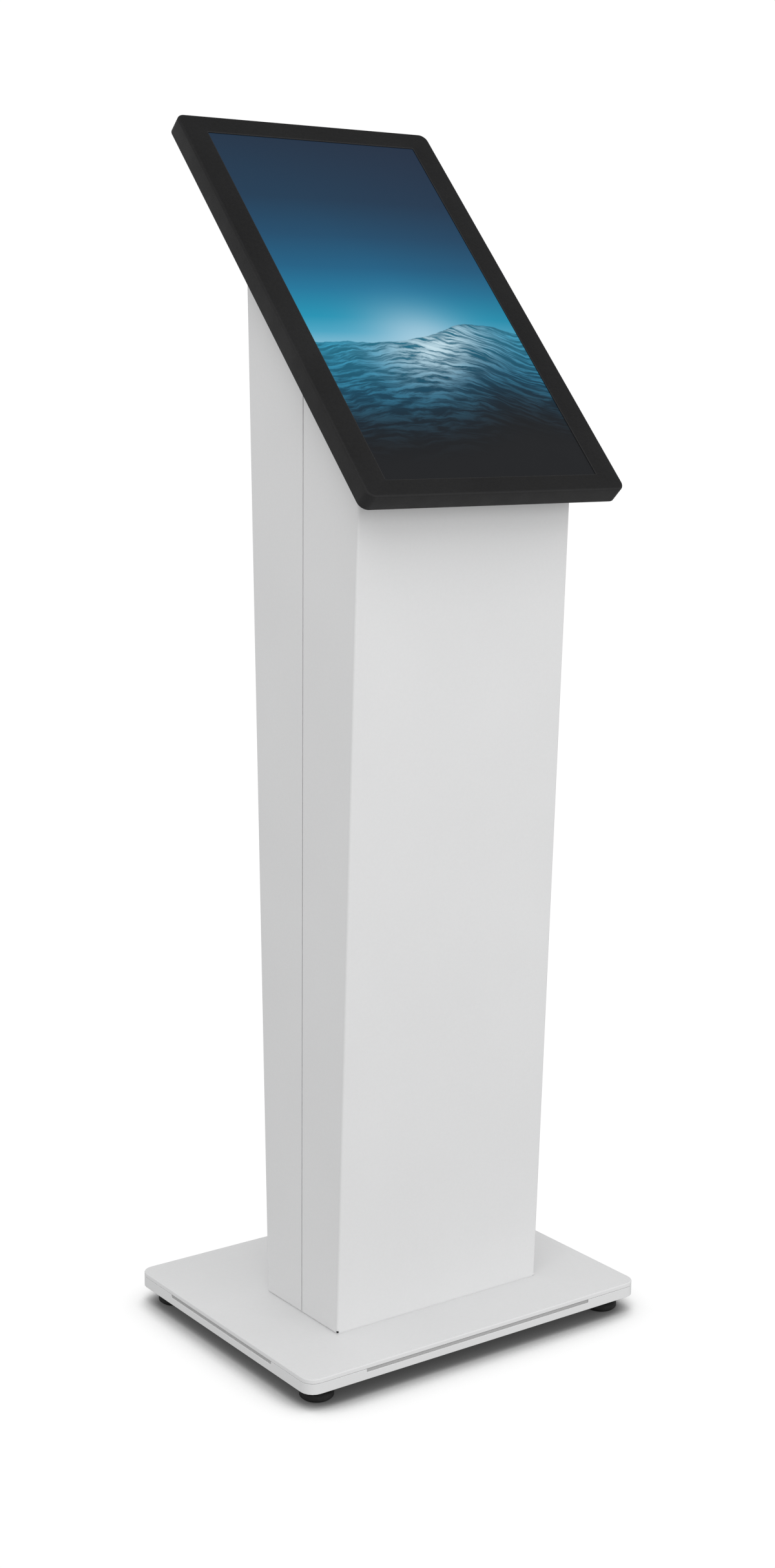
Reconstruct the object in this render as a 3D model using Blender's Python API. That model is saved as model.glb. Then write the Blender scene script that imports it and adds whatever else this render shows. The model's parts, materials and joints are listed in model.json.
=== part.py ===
"""Freestanding touchscreen kiosk: a portrait display at a fixed reading slope on a tapered two-shell column.

The column is sheet steel on two uprights, with a lockable service door at the back, and stands on a weighted
base with four levelling feet. Metres, +Z up, front towards -Y. The origin is on the floor, in the middle of
the whole outline. Run it with blender --background --python part.py, or from Blender's text editor.
"""

import math

import bmesh
import bpy
from mathutils import Vector

# General
GAP = 0.0003  # between pieces that touch
SHEET = 0.002  # folded steel of the column
BEND = 0.0025  # outer radius of a folded edge

# Display, in its own frame: x to the right, y into the display, z up the screen, from the screen's centre
TILT = math.radians(43.0)  # slope of the display, from vertical
SCREEN_WIDTH = 0.2678  # lit area, 16:9 upright
SCREEN_HEIGHT = 0.4761
DISPLAY_WIDTH = 0.3265
DISPLAY_HEIGHT = 0.5217
DISPLAY_DEPTH = 0.0203
DISPLAY_LIFT = 0.0020  # the housing's centre lies this far above the screen's centre
DISPLAY_CORNER = 0.010
DISPLAY_EDGE = 0.0025  # rounding of the front edge
BEZEL_WALL = 0.0016
BEZEL_LIP = 0.0010
COVER_SHEET = 0.0016
SCREEN_Z = 1.1149  # height of the screen's centre
SCREEN_AHEAD = 0.0070  # screen's centre ahead of the base's centre

# Base
BASE_WIDTH = 0.4465
BASE_DEPTH = 0.3467
BASE_CORNER = 0.015
BASE_UNDERSIDE = 0.0180
TRAY_HEIGHT = 0.0115
TRAY_SHEET = 0.0020
TOP_PLATE = 0.0048
TOP_PLATE_EDGE = 0.0012
BASE_TOP = BASE_UNDERSIDE + TRAY_HEIGHT + GAP + TOP_PLATE
SLOT_HEIGHT = 0.0037  # long slot along the top of each side of the tray
SLOT_FRONT_LENGTH = 0.302
SLOT_SIDE_LENGTH = 0.204
BALLAST_INSET = 0.0032
BALLAST = 0.0082

# Levelling feet
FOOT_INSET = 0.029
FOOT_RADIUS = 0.0182
STUD_RADIUS = 0.0050
STUD_HOLE = 0.0053
STUD_TOP = 0.0293

# Column
COLUMN_WIDTH = 0.2718
COLUMN_GAP = 0.0010  # shadow gap over the base
COLUMN_LEAN = math.tan(math.radians(1.956))  # front leans forward and rear leans back by this much going up
FRONT_AHEAD = 0.0969  # front face ahead of the base's centre, at the base
REAR_BEHIND = 0.0399
SEAM_AHEAD = 0.0285
SEAM_WIDTH = 0.0014
NOTCH = 0.0021  # bend relief at the foot of each front edge
UPRIGHT_WIDTH = 0.025
UPRIGHT_DEPTH = 0.040
UPRIGHT_INSET = 0.0005
FLANGE_PLATE = 0.004
SHELF_Z = 0.430

# Service door, in the rear face's frame: x to the right, y out of the face, z up it from the base plate
DOOR_WIDTH = 0.200
DOOR_BOTTOM = 0.265
DOOR_TOP = 0.825
DOOR_CLEARANCE = 0.0015
DOOR_FRAME_LIP = 0.0930  # half the clear width inside the door frame
DOOR_FRAME_DEPTH = 0.016
BARREL_RADIUS = 0.0035
BARREL_Y = GAP + BARREL_RADIUS
PIN_RADIUS = 0.0016
PIN_HOLE = 0.00178
HINGE_LENGTH = 0.060
HINGE_LEAF = 0.0015
HINGE_WIDTH = 0.025
LOCK_X = 0.080
LOCK_Z = 0.545
INLET_X = -0.060
INLET_Z = 0.075
ROCKER_TIP = math.radians(7.0)  # the rocker leans this much either side of level

# Head of the column, in the display's frame
MOUNT_PLATE = 0.0025
MOUNT_SIZE = 0.160
MOUNT_HOLES = 0.050  # half the 100 mm hole spacing
HEAD_PLATE = 0.0035
CABLE_X = 0.070
CABLE_Z = -0.120
KEY_X = 0.140
KEY_Z = (0.150, 0.172, 0.194, 0.216)
KEY_NAMES = ("key_power", "key_menu", "key_down", "key_up")

# Worked out from the above: the display reaches as far over the back as over the front
SIN, COS = math.sin(TILT), math.cos(TILT)
EDGE_LOSS = SIN + COS - 1  # share of an edge's rounding that comes off the display's reach
REAR_EDGE = 0.0008
SCREEN_Y = -(2 * DISPLAY_LIFT * SIN + DISPLAY_DEPTH * COS + EDGE_LOSS * (DISPLAY_EDGE - REAR_EDGE)) / 2
BASE_Y = SCREEN_Y + SCREEN_AHEAD
FRONT_Y = BASE_Y - FRONT_AHEAD
REAR_Y = BASE_Y + REAR_BEHIND
SEAM_Y = BASE_Y - SEAM_AHEAD
COLUMN_BOTTOM = BASE_TOP + COLUMN_GAP
HEAD_Y = DISPLAY_DEPTH + GAP + MOUNT_PLATE + GAP  # front of the head plate
UPRIGHT_TOP_Y = HEAD_Y + HEAD_PLATE + GAP
HINGE_X = -DOOR_WIDTH / 2 - DOOR_CLEARANCE / 2


# ---------------------------------------------------------------- scene and materials


def clear_scene():
    for obj in list(bpy.data.objects):
        bpy.data.objects.remove(obj)


def material(name, color, roughness, metallic=0.0):
    """The material of this name, made the first time that it is asked for."""
    found = bpy.data.materials.get(name)
    if found:
        return found
    made = bpy.data.materials.new(name)
    made.use_nodes = True
    shader = made.node_tree.nodes["Principled BSDF"]
    shader.inputs["Base Color"].default_value = (*color, 1.0)
    shader.inputs["Roughness"].default_value = roughness
    shader.inputs["Metallic"].default_value = metallic
    return made


def white_paint():
    return material("white_paint", (0.80, 0.80, 0.80), 0.55)


def black_paint():
    return material("black_paint", (0.022, 0.022, 0.023), 0.5)


def steel():
    return material("zinc_steel", (0.56, 0.57, 0.58), 0.35, 1.0)


def black_plastic():
    return material("black_plastic", (0.015, 0.015, 0.016), 0.45)


def rubber():
    return material("black_rubber", (0.02, 0.02, 0.02), 0.8)


def circuit():
    return material("circuit_board", (0.02, 0.12, 0.05), 0.5)


def glass():
    return material("touch_glass", (0.03, 0.09, 0.14), 0.15)


def frame_empty(name, location, tilt=0.0):
    """An empty whose frame leans back by tilt about X."""
    empty = bpy.data.objects.new(name, None)
    empty.location = location
    empty.rotation_euler = (-tilt, 0.0, 0.0)
    bpy.context.scene.collection.objects.link(empty)
    return empty


def add(name, bm, mat, parent=None, pivot=(0, 0, 0)):
    """An object from bm, whose coordinates are in the parent's frame, with its origin moved to pivot."""
    bmesh.ops.recalc_face_normals(bm, faces=bm.faces)
    bmesh.ops.translate(bm, verts=bm.verts, vec=-Vector(pivot))
    mesh = bpy.data.meshes.new(name)
    bm.to_mesh(mesh)
    bm.free()
    mesh.shade_smooth()
    mesh.set_sharp_from_angle(angle=math.radians(30))
    obj = bpy.data.objects.new(name, mesh)
    if mat:
        obj.data.materials.append(mat)
    obj.parent = parent
    obj.location = pivot
    bpy.context.scene.collection.objects.link(obj)
    return obj


def change(obj, bm, operation, name, parent=None):
    """Cuts bm's shape from obj, or joins it to obj. The shape stays as a hidden guide."""
    tool = add(f"{obj.name}_{name}", bm, None, parent)
    tool.hide_render = True
    tool.display_type = "WIRE"
    boolean = obj.modifiers.new(name, "BOOLEAN")
    boolean.operation = operation
    boolean.solver = "EXACT"
    boolean.object = tool


def cut(obj, bm, name, parent=None):
    change(obj, bm, "DIFFERENCE", name, parent)


def join(obj, bm, name, parent=None):
    change(obj, bm, "UNION", name, parent)


# ---------------------------------------------------------------- shapes


def loft(rings, ring_of_rings=False, bm=None):
    """Skins equal rings of points. The ends are capped, or joined to each other for a ring of rings."""
    bm = bm or bmesh.new()
    rows = [[bm.verts.new(point) for point in ring] for ring in rings]
    count = len(rows[0])
    pairs = list(zip(rows, rows[1:]))
    if ring_of_rings:
        pairs.append((rows[-1], rows[0]))
    for a, b in pairs:
        for i in range(count):
            j = (i + 1) % count
            bm.faces.new((a[i], a[j], b[j], b[i]))
    if not ring_of_rings:
        bm.faces.new(reversed(rows[0]))
        bm.faces.new(rows[-1])
    return bm


def box(low, high, bm=None):
    x0, y0, z0 = low
    x1, y1, z1 = high
    rings = [[(x0, y0, z), (x1, y0, z), (x1, y1, z), (x0, y1, z)] for z in (z0, z1)]
    return loft(rings, bm=bm)


def arc(centre, radius, start, end, steps):
    """Points of an arc in a plane, from start to end in degrees."""
    points = []
    for i in range(steps + 1):
        angle = math.radians(start + (end - start) * i / steps)
        points.append((centre[0] + radius * math.cos(angle), centre[1] + radius * math.sin(angle)))
    return points


def rounded_outline(width, height, radius, steps=4):
    """A rectangle about (0, 0) with rounded corners, counter-clockwise from the right side's top corner."""
    x, y = width / 2 - radius, height / 2 - radius
    points = []
    for quarter, centre in enumerate(((x, y), (-x, y), (-x, -y), (x, -y))):
        points += arc(centre, radius, 90 * quarter, 90 * quarter + 90, steps)
    return points


def flat_ring(outline, z):
    return [(x, y, z) for x, y in outline]


def upright_ring(outline, y, lift=0.0):
    """An outline stood up, facing along y."""
    return [(x, y, z + lift) for x, z in outline]


def cylinder(centre, radius, low, high, axis="z", segments=24, bm=None):
    """A round bar from low to high along axis. centre gives its two other coordinates, in x, y, z order."""
    return turned([(radius, low), (radius, high)], centre, axis, segments, bm=bm)


def turned(profile, centre, axis="z", segments=24, hollow=False, bm=None):
    """Turns (radius, height) points about axis. A hollow profile is a closed loop, such as a washer's."""
    rings = []
    for radius, height in profile:
        circle = arc(centre, radius, 0, 360 - 360 / segments, segments - 1)
        if axis == "z":
            rings.append([(a, b, height) for a, b in circle])
        elif axis == "y":
            rings.append([(a, height, b) for a, b in circle])
        else:
            rings.append([(height, a, b) for a, b in circle])
    return loft(rings, hollow, bm)


def slots(length, width, centres, low, high, bm=None):
    """Level slots with round ends, cut along y, at (x, z) centres."""
    bm = bm or bmesh.new()
    for cx, cz in centres:
        outline = rounded_outline(length, width, width / 2 * 0.999, 2)
        ends = [[(x + cx, y, z + cz) for x, z in outline] for y in (low, high)]
        loft(ends, bm=bm)
    return bm


# ---------------------------------------------------------------- places


def display_point(x, y, z):
    """A point of the display's frame, in the world."""
    return Vector((x, SCREEN_Y + y * COS + z * SIN, SCREEN_Z - y * SIN + z * COS))


def height_under_display(y_at_base, lean, depth):
    """Height at which a wall meets the plane that lies depth behind the display's face."""
    foot = display_point(0, depth, 0)
    return (foot.z + (y_at_base - lean * BASE_TOP - foot.y) * COS / SIN) / (1 - lean * COS / SIN)


def wall_ends(x, y_at_base, lean, bottom, depth):
    """The lower and upper end of one upright line of the column."""
    top = height_under_display(y_at_base, lean, depth)
    low = (x, y_at_base + lean * (bottom - BASE_TOP), bottom)
    high = (x, y_at_base + lean * (top - BASE_TOP), top)
    return low, high


def upright_prism(outline, bottom, depth):
    """Stands (x, y, lean) points up from bottom to the plane at depth behind the display's face."""
    ends = [wall_ends(x, y, lean, bottom, depth) for x, y, lean in outline]
    return loft([[low for low, _ in ends], [high for _, high in ends]])


# ---------------------------------------------------------------- base


def base_outline(inset=0.0, steps=5):
    outline = rounded_outline(BASE_WIDTH - 2 * inset, BASE_DEPTH - 2 * inset, BASE_CORNER - inset, steps)
    return [(x, y + BASE_Y) for x, y in outline]


def foot_places():
    x = BASE_WIDTH / 2 - FOOT_INSET
    y = BASE_DEPTH / 2 - FOOT_INSET
    return {
        "front_left": (-x, BASE_Y - y),
        "front_right": (x, BASE_Y - y),
        "rear_left": (-x, BASE_Y + y),
        "rear_right": (x, BASE_Y + y),
    }


def make_top_plate():
    bottom = BASE_UNDERSIDE + TRAY_HEIGHT + GAP
    rings = [flat_ring(base_outline(), bottom)]
    for i in range(3):
        angle = math.radians(45 * i)
        inset = TOP_PLATE_EDGE * (1 - math.cos(angle))
        rings.append(flat_ring(base_outline(inset), BASE_TOP - TOP_PLATE_EDGE * (1 - math.sin(angle))))
    add("base_top_plate", loft(rings), white_paint())


def make_tray():
    """A shallow folded pan, open at the top, with a long slot in the upper edge of each side."""
    top = BASE_UNDERSIDE + TRAY_HEIGHT
    outer, inner = base_outline(), base_outline(TRAY_SHEET)
    rings = [flat_ring(outer, BASE_UNDERSIDE), flat_ring(outer, top)]
    rings += [flat_ring(inner, top), flat_ring(inner, BASE_UNDERSIDE + TRAY_SHEET)]
    tray = add("base_tray", loft(rings), white_paint())
    low, high = top - SLOT_HEIGHT, top + 0.001
    reach = TRAY_SHEET + 0.0005
    for side, sign in (("front", -1), ("rear", 1)):
        edge = BASE_Y + sign * BASE_DEPTH / 2
        ends = sorted((edge - sign * reach, edge + sign * 0.001))
        half = SLOT_FRONT_LENGTH / 2
        cut(tray, box((-half, ends[0], low), (half, ends[1], high)), f"{side}_slot")
    for side, sign in (("left", -1), ("right", 1)):
        edge = sign * BASE_WIDTH / 2
        ends = sorted((edge - sign * reach, edge + sign * 0.001))
        half = SLOT_SIDE_LENGTH / 2
        cut(tray, box((ends[0], BASE_Y - half, low), (ends[1], BASE_Y + half, high)), f"{side}_slot")
    floor = BASE_UNDERSIDE + TRAY_SHEET
    for place, centre in foot_places().items():
        hole = cylinder(centre, STUD_HOLE, BASE_UNDERSIDE - 0.001, floor + 0.001, "z", 16)
        cut(tray, hole, f"{place}_hole")


def make_ballast():
    """Steel plate that fills the tray. Its painted edge shows through the tray's slots."""
    low = BASE_UNDERSIDE + TRAY_SHEET + GAP
    high = low + BALLAST
    outline = base_outline(BALLAST_INSET, 3)
    plate = add("ballast_plate", loft([flat_ring(outline, low), flat_ring(outline, high)]), white_paint())
    for place, centre in foot_places().items():
        cut(plate, cylinder(centre, STUD_HOLE, low - 0.001, high + 0.001, "z", 16), f"{place}_hole")


def make_foot(place, centre):
    """A moulded pad with a ball seat under a threaded stud that screws into the ballast plate."""
    neck = BASE_UNDERSIDE - GAP
    pad = [(0.0150, 0.0), (FOOT_RADIUS, 0.0022), (FOOT_RADIUS, 0.0066), (0.0160, 0.0084)]
    pad += [(0.0115, 0.0098), (0.0105, neck), (0.0068, neck), (0.0068, 0.0096)]
    add(f"foot_pad_{place}", turned(pad, centre, segments=24), rubber(), pivot=(*centre, 0.0))
    stud = [(0.0045, 0.0099), (0.0062, 0.0105), (0.0062, neck - 0.001), (STUD_RADIUS, neck)]
    stud += [(STUD_RADIUS, STUD_TOP - 0.0006), (STUD_RADIUS - 0.0006, STUD_TOP)]
    add(f"foot_stud_{place}", turned(stud, centre, segments=16), steel(), pivot=(*centre, 0.0))


def make_base():
    make_top_plate()
    make_tray()
    make_ballast()
    for place, centre in foot_places().items():
        make_foot(place, centre)


# ---------------------------------------------------------------- column


def cover_outline(face_y, seam_y, lean):
    """A channel seen from above: two side flanges from the seam to a face at face_y, as (x, y, lean)."""
    half = COLUMN_WIDTH / 2
    way = 1 if face_y > seam_y else -1
    bend_y = face_y - way * BEND
    points = [(half, seam_y, 0.0)]
    points += [(x, y, lean) for x, y in arc((half - BEND, bend_y), BEND, 0, way * 90, 4)]
    points += [(x, y, lean) for x, y in arc((BEND - half, bend_y), BEND, way * 90, way * 180, 4)]
    points += [(-half, seam_y, 0.0), (SHEET - half, seam_y, 0.0)]
    inner = BEND - SHEET
    points += [(x, y, lean) for x, y in arc((BEND - half, bend_y), inner, way * 180, way * 90, 4)]
    points += [(x, y, lean) for x, y in arc((half - BEND, bend_y), inner, way * 90, 0, 4)]
    points.append((half - SHEET, seam_y, 0.0))
    return points


def make_front_cover():
    outline = cover_outline(FRONT_Y, SEAM_Y - SEAM_WIDTH / 2, -COLUMN_LEAN)
    cover = add("front_cover", upright_prism(outline, COLUMN_BOTTOM, DISPLAY_DEPTH + GAP), white_paint())
    relief = bmesh.new()
    for side in (-1, 1):
        xs = sorted((side * (COLUMN_WIDTH / 2 + 0.001), side * (COLUMN_WIDTH / 2 - NOTCH)))
        low = (xs[0], FRONT_Y - 0.001, COLUMN_BOTTOM - 0.001)
        high = (xs[1], FRONT_Y + NOTCH, COLUMN_BOTTOM + NOTCH)
        box(low, high, bm=relief)
    cut(cover, relief, "bend_relief")


def make_rear_cover(rear):
    outline = cover_outline(REAR_Y, SEAM_Y + SEAM_WIDTH / 2, COLUMN_LEAN)
    cover = add("rear_cover", upright_prism(outline, COLUMN_BOTTOM, DISPLAY_DEPTH + GAP), white_paint())
    half = DOOR_WIDTH / 2 + DOOR_CLEARANCE
    low = (-half, -0.006, DOOR_BOTTOM - DOOR_CLEARANCE)
    high = (half, 0.004, DOOR_TOP + DOOR_CLEARANCE)
    cut(cover, box(low, high), "door_opening", rear)
    low = (INLET_X - 0.0140, -0.006, INLET_Z - 0.0240)
    high = (INLET_X + 0.0140, 0.004, INLET_Z + 0.0240)
    cut(cover, box(low, high), "inlet_opening", rear)
    centres = [(0.0, 0.900 + 0.011 * i) for i in range(6)]
    cut(cover, slots(0.110, 0.004, centres, -0.006, 0.004), "vents", rear)


def make_column_flange():
    """Bottom plate that bolts the uprights to the base."""
    half = COLUMN_WIDTH / 2 - SHEET - UPRIGHT_INSET
    low, high = BASE_TOP + GAP, BASE_TOP + GAP + FLANGE_PLATE
    front, back = FRONT_Y + SHEET + 0.0008, REAR_Y - SHEET - 0.0005
    plate = add("column_flange", box((-half, front, low), (half, back, high)), steel())
    holes = bmesh.new()
    for x in (-0.085, 0.085):
        for y in (front + 0.016, back - 0.016):
            cylinder((x, y), 0.0045, low - 0.001, high + 0.001, segments=16, bm=holes)
    cut(plate, holes, "bolt_holes")


def make_upright(side, sign):
    """A channel that stands behind the seam, with its web towards the middle."""
    outer = COLUMN_WIDTH / 2 - SHEET - UPRIGHT_INSET
    inner = outer - UPRIGHT_WIDTH
    y0, y1 = SEAM_Y - UPRIGHT_DEPTH / 2, SEAM_Y + UPRIGHT_DEPTH / 2
    web = inner + SHEET
    outline = [(outer, y0), (inner, y0), (inner, y1), (outer, y1)]
    outline += [(outer, y1 - SHEET), (web, y1 - SHEET), (web, y0 + SHEET), (outer, y0 + SHEET)]
    points = [(sign * x, y, 0.0) for x, y in outline]
    bottom = BASE_TOP + GAP + FLANGE_PLATE + GAP
    add(f"upright_{side}", upright_prism(points, bottom, UPRIGHT_TOP_Y), steel())


def shelf_half():
    return COLUMN_WIDTH / 2 - SHEET - UPRIGHT_INSET - UPRIGHT_WIDTH - GAP


def make_shelf():
    """A folded shelf whose upturned ends are screwed to the uprights."""
    half, lip = shelf_half(), 0.027
    outline = [(-half, lip), (-half, 0.0), (half, 0.0), (half, lip)]
    outline += [(half - SHEET, lip), (half - SHEET, SHEET), (SHEET - half, SHEET), (SHEET - half, lip)]
    rings = [upright_ring(outline, BASE_Y + y, SHELF_Z) for y in (-0.098, 0.032)]
    shelf = add("equipment_shelf", loft(rings), steel())
    passage = box((0.088, BASE_Y - 0.022, SHELF_Z - 0.001), (0.104, BASE_Y + 0.002, SHELF_Z + SHEET + 0.001))
    cut(shelf, passage, "cable_passage")


def make_head_plate(display):
    """Sloping plate on top of the uprights, which carries the display."""
    half = COLUMN_WIDTH / 2 - SHEET - 2 * UPRIGHT_INSET
    low, high = HEAD_Y, HEAD_Y + HEAD_PLATE
    plate = add("head_plate", box((-half, low, -0.185), (half, high, 0.085)), steel(), display)
    access = bmesh.new()
    for x in (-MOUNT_HOLES, MOUNT_HOLES):
        for z in (-MOUNT_HOLES, MOUNT_HOLES):
            cylinder((x, z), 0.006, low - 0.001, high + 0.001, "y", 12, access)
    cut(plate, access, "screw_access", display)
    passage = cylinder((CABLE_X, CABLE_Z), 0.013, low - 0.001, high + 0.001, "y", 18)
    cut(plate, passage, "cable_passage", display)


def make_grommet(display):
    front, back = HEAD_Y - GAP, HEAD_Y + HEAD_PLATE + GAP
    rim = 0.0017
    profile = [(0.009, front - rim), (0.016, front - rim), (0.016, front), (0.0127, front)]
    profile += [(0.0127, back), (0.016, back), (0.016, back + rim), (0.009, back + rim)]
    ring = turned(profile, (CABLE_X, CABLE_Z), "y", 18, hollow=True)
    add("cable_grommet", ring, rubber(), display)


def make_column(rear, display):
    make_front_cover()
    make_rear_cover(rear)
    make_column_flange()
    make_upright("left", -1)
    make_upright("right", 1)
    make_shelf()
    make_head_plate(display)
    make_grommet(display)


# ---------------------------------------------------------------- service door


def make_door(rear):
    pivot = (HINGE_X, BARREL_Y, DOOR_BOTTOM)
    half = DOOR_WIDTH / 2
    panel = box((-half, -SHEET, DOOR_BOTTOM), (half, 0.0, DOOR_TOP))
    door = add("service_door", panel, white_paint(), rear, pivot)
    hole = cylinder((LOCK_X, LOCK_Z), 0.0083, -0.006, 0.004, "y", 24)
    cut(door, hole, "lock_hole", rear)
    low_row = [(0.0, DOOR_BOTTOM + 0.050 + 0.011 * i) for i in range(6)]
    high_row = [(0.0, DOOR_TOP - 0.050 - 0.011 * i) for i in range(6)]
    cut(door, slots(0.110, 0.004, low_row + high_row, -0.006, 0.004), "vents", rear)


def make_door_frame(rear):
    """A ring behind the opening's edge: a flange that the door closes on, and a lip turned inwards."""
    middle = (DOOR_BOTTOM + DOOR_TOP) / 2
    clear_height = DOOR_TOP - DOOR_BOTTOM - (DOOR_WIDTH - 2 * DOOR_FRAME_LIP)
    near = -SHEET - GAP
    section = [(0.0, near), (0.024, near), (0.024, near - SHEET)]
    section += [(SHEET, near - SHEET), (SHEET, -DOOR_FRAME_DEPTH), (0.0, -DOOR_FRAME_DEPTH)]
    rings = []
    for out, y in section:
        outline = rounded_outline(2 * (DOOR_FRAME_LIP + out), clear_height + 2 * out, 0.004 + out / 4, 2)
        rings.append(upright_ring(outline, y, middle))
    add("door_frame", loft(rings, ring_of_rings=True), white_paint(), rear)


def leaf_outline(side):
    """A hinge leaf seen from above, with the barrel at its edge. side is -1 on the frame, 1 on the door."""
    bottom, top = BARREL_Y - BARREL_RADIUS, BARREL_Y - BARREL_RADIUS + HINGE_LEAF
    meet = math.degrees(math.asin((BARREL_Y - top) / BARREL_RADIUS))
    points = [(side * HINGE_WIDTH, bottom)]
    for x, y in arc((0.0, BARREL_Y), BARREL_RADIUS, -90, 180 + meet, 14):
        points.append((-side * x, y))
    points.append((side * HINGE_WIDTH, top))
    return [(HINGE_X + x, y) for x, y in points]


def make_hinge(level, bottom, rear):
    knuckle = 0.018
    top = bottom + HINGE_LENGTH
    spans = {
        "frame": [(bottom + knuckle - GAP / 2, top - knuckle + GAP / 2)],
        "door": [(bottom - 0.001, bottom + knuckle + GAP / 2), (top - knuckle - GAP / 2, top + 0.001)],
    }
    for part, side in (("frame", -1), ("door", 1)):
        outline = leaf_outline(side)
        rings = [flat_ring(outline, z) for z in (bottom, top)]
        pivot = (HINGE_X, BARREL_Y, bottom)
        leaf = add(f"hinge_{level}_{part}_leaf", loft(rings), white_paint(), rear, pivot)
        reach = sorted((side * 0.0041, -side * 0.0041))
        gaps = bmesh.new()
        for low, high in spans[part]:
            box((HINGE_X + reach[0], -0.001, low), (HINGE_X + reach[1], 0.009, high), bm=gaps)
        cut(leaf, gaps, "knuckle_gaps", rear)
        bore = cylinder((HINGE_X, BARREL_Y), PIN_HOLE, bottom - 0.001, top + 0.001, "z", 16)
        cut(leaf, bore, "pin_bore", rear)
    profile = [(0.0028, bottom - 0.0017), (0.0028, bottom - GAP), (PIN_RADIUS, bottom - GAP)]
    profile += [(PIN_RADIUS, top + GAP), (0.0010, top + 0.0012)]
    pin = turned(profile, (HINGE_X, BARREL_Y), segments=16)
    add(f"hinge_{level}_pin", pin, steel(), rear, (HINGE_X, BARREL_Y, bottom))


def make_lock(rear):
    """Cam lock: a barrel nutted into the door, and a key core that turns a cam behind the door frame."""
    centre = (LOCK_X, LOCK_Z)
    pivot = (LOCK_X, 0.0, LOCK_Z)
    profile = [(0.0058, 0.0020), (0.0100, 0.0020), (0.0110, 0.0012), (0.0110, GAP), (0.0080, GAP)]
    profile += [(0.0080, -0.0165), (0.0058, -0.0165)]
    add("lock_barrel", turned(profile, centre, "y", 24, hollow=True), steel(), rear, pivot)
    nut_front = -SHEET - GAP
    hexagon = cylinder(centre, 0.0125, nut_front - 0.0032, nut_front, "y", 6)
    nut = add("lock_nut", hexagon, steel(), rear, pivot)
    cut(nut, cylinder(centre, 0.0083, -0.007, 0.0, "y", 24), "thread", rear)
    core = [(0.0055, 0.0016), (0.0055, -0.0168), (0.0030, -0.0168), (0.0030, -0.0212)]
    core_obj = add("lock_core", turned(core, centre, "y", 24), steel(), rear, pivot)
    key_slot = box((LOCK_X - 0.0007, -0.006, LOCK_Z - 0.0032), (LOCK_X + 0.0007, 0.003, LOCK_Z + 0.0032))
    cut(core_obj, key_slot, "key_slot", rear)
    outline = arc(centre, 0.0070, 0, 180, 8)
    outline += [(LOCK_X - 0.0060, LOCK_Z - 0.0300), (LOCK_X - 0.0030, LOCK_Z - 0.0340)]
    outline += [(LOCK_X + 0.0030, LOCK_Z - 0.0340), (LOCK_X + 0.0060, LOCK_Z - 0.0300)]
    cam = add("lock_cam", loft([upright_ring(outline, y) for y in (-0.0196, -0.0174)]), steel(), rear, pivot)
    cut(cam, cylinder(centre, 0.0033, -0.025, -0.010, "y", 24), "core_hole", rear)


def make_service_door(rear):
    make_door(rear)
    make_door_frame(rear)
    make_hinge("lower", DOOR_BOTTOM + 0.070, rear)
    make_hinge("upper", DOOR_TOP - 0.070 - HINGE_LENGTH, rear)
    make_lock(rear)


# ---------------------------------------------------------------- power


def make_inlet(rear):
    """Mains inlet module: a socket with three blades below, and a well for the rocker switch above."""
    x, z = INLET_X, INLET_Z
    body = box((x - 0.0137, -0.028, z - 0.0237), (x + 0.0137, 0.0010, z + 0.0237))
    inlet = add("power_inlet", body, black_plastic(), rear)
    rim = [upright_ring(rounded_outline(0.032, 0.052, 0.002, 3), y, z) for y in (GAP, 0.0023)]
    rim = [[(px + x, py, pz) for px, py, pz in ring] for ring in rim]
    join(inlet, loft(rim), "rim", rear)
    low, high, half = z - 0.0205, z - 0.0040, 0.012
    socket = [(x - half, low), (x + half, low), (x + half, high - 0.004), (x + half - 0.004, high)]
    socket += [(x - half + 0.004, high), (x - half, high - 0.004)]
    cut(inlet, loft([upright_ring(socket, y) for y in (-0.016, 0.004)]), "socket", rear)
    blades = bmesh.new()
    for bx, bz in ((-0.007, z - 0.0136), (0.007, z - 0.0136), (0.0, z - 0.0092)):
        box((x + bx - 0.001, -0.017, bz - 0.002), (x + bx + 0.001, -0.001, bz + 0.002), bm=blades)
    join(inlet, blades, "blades", rear)
    well = box((x - 0.0066, -0.0075, z + 0.0030), (x + 0.0066, 0.004, z + 0.0215))
    cut(inlet, well, "rocker_well", rear)


def make_rocker(rear):
    """Rocker with a shallow V face, at rest tipped to off."""
    z = INLET_Z + 0.01225
    face = [(0.0012, 0.0), (0.0024, 0.0083), (0.0010, 0.0086), (-0.0045, 0.0040)]
    face += [(-0.0045, -0.0040), (0.0010, -0.0086), (0.0024, -0.0083)]
    tipped = []
    for out, up in face:
        turned_out = out * math.cos(ROCKER_TIP) - up * math.sin(ROCKER_TIP)
        tipped.append((turned_out, out * math.sin(ROCKER_TIP) + up * math.cos(ROCKER_TIP)))
    rings = [[(INLET_X + dx, out, z + up) for out, up in tipped] for dx in (-0.0060, 0.0060)]
    add("rocker_switch", loft(rings), black_plastic(), rear, (INLET_X, 0.0, z))


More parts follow.
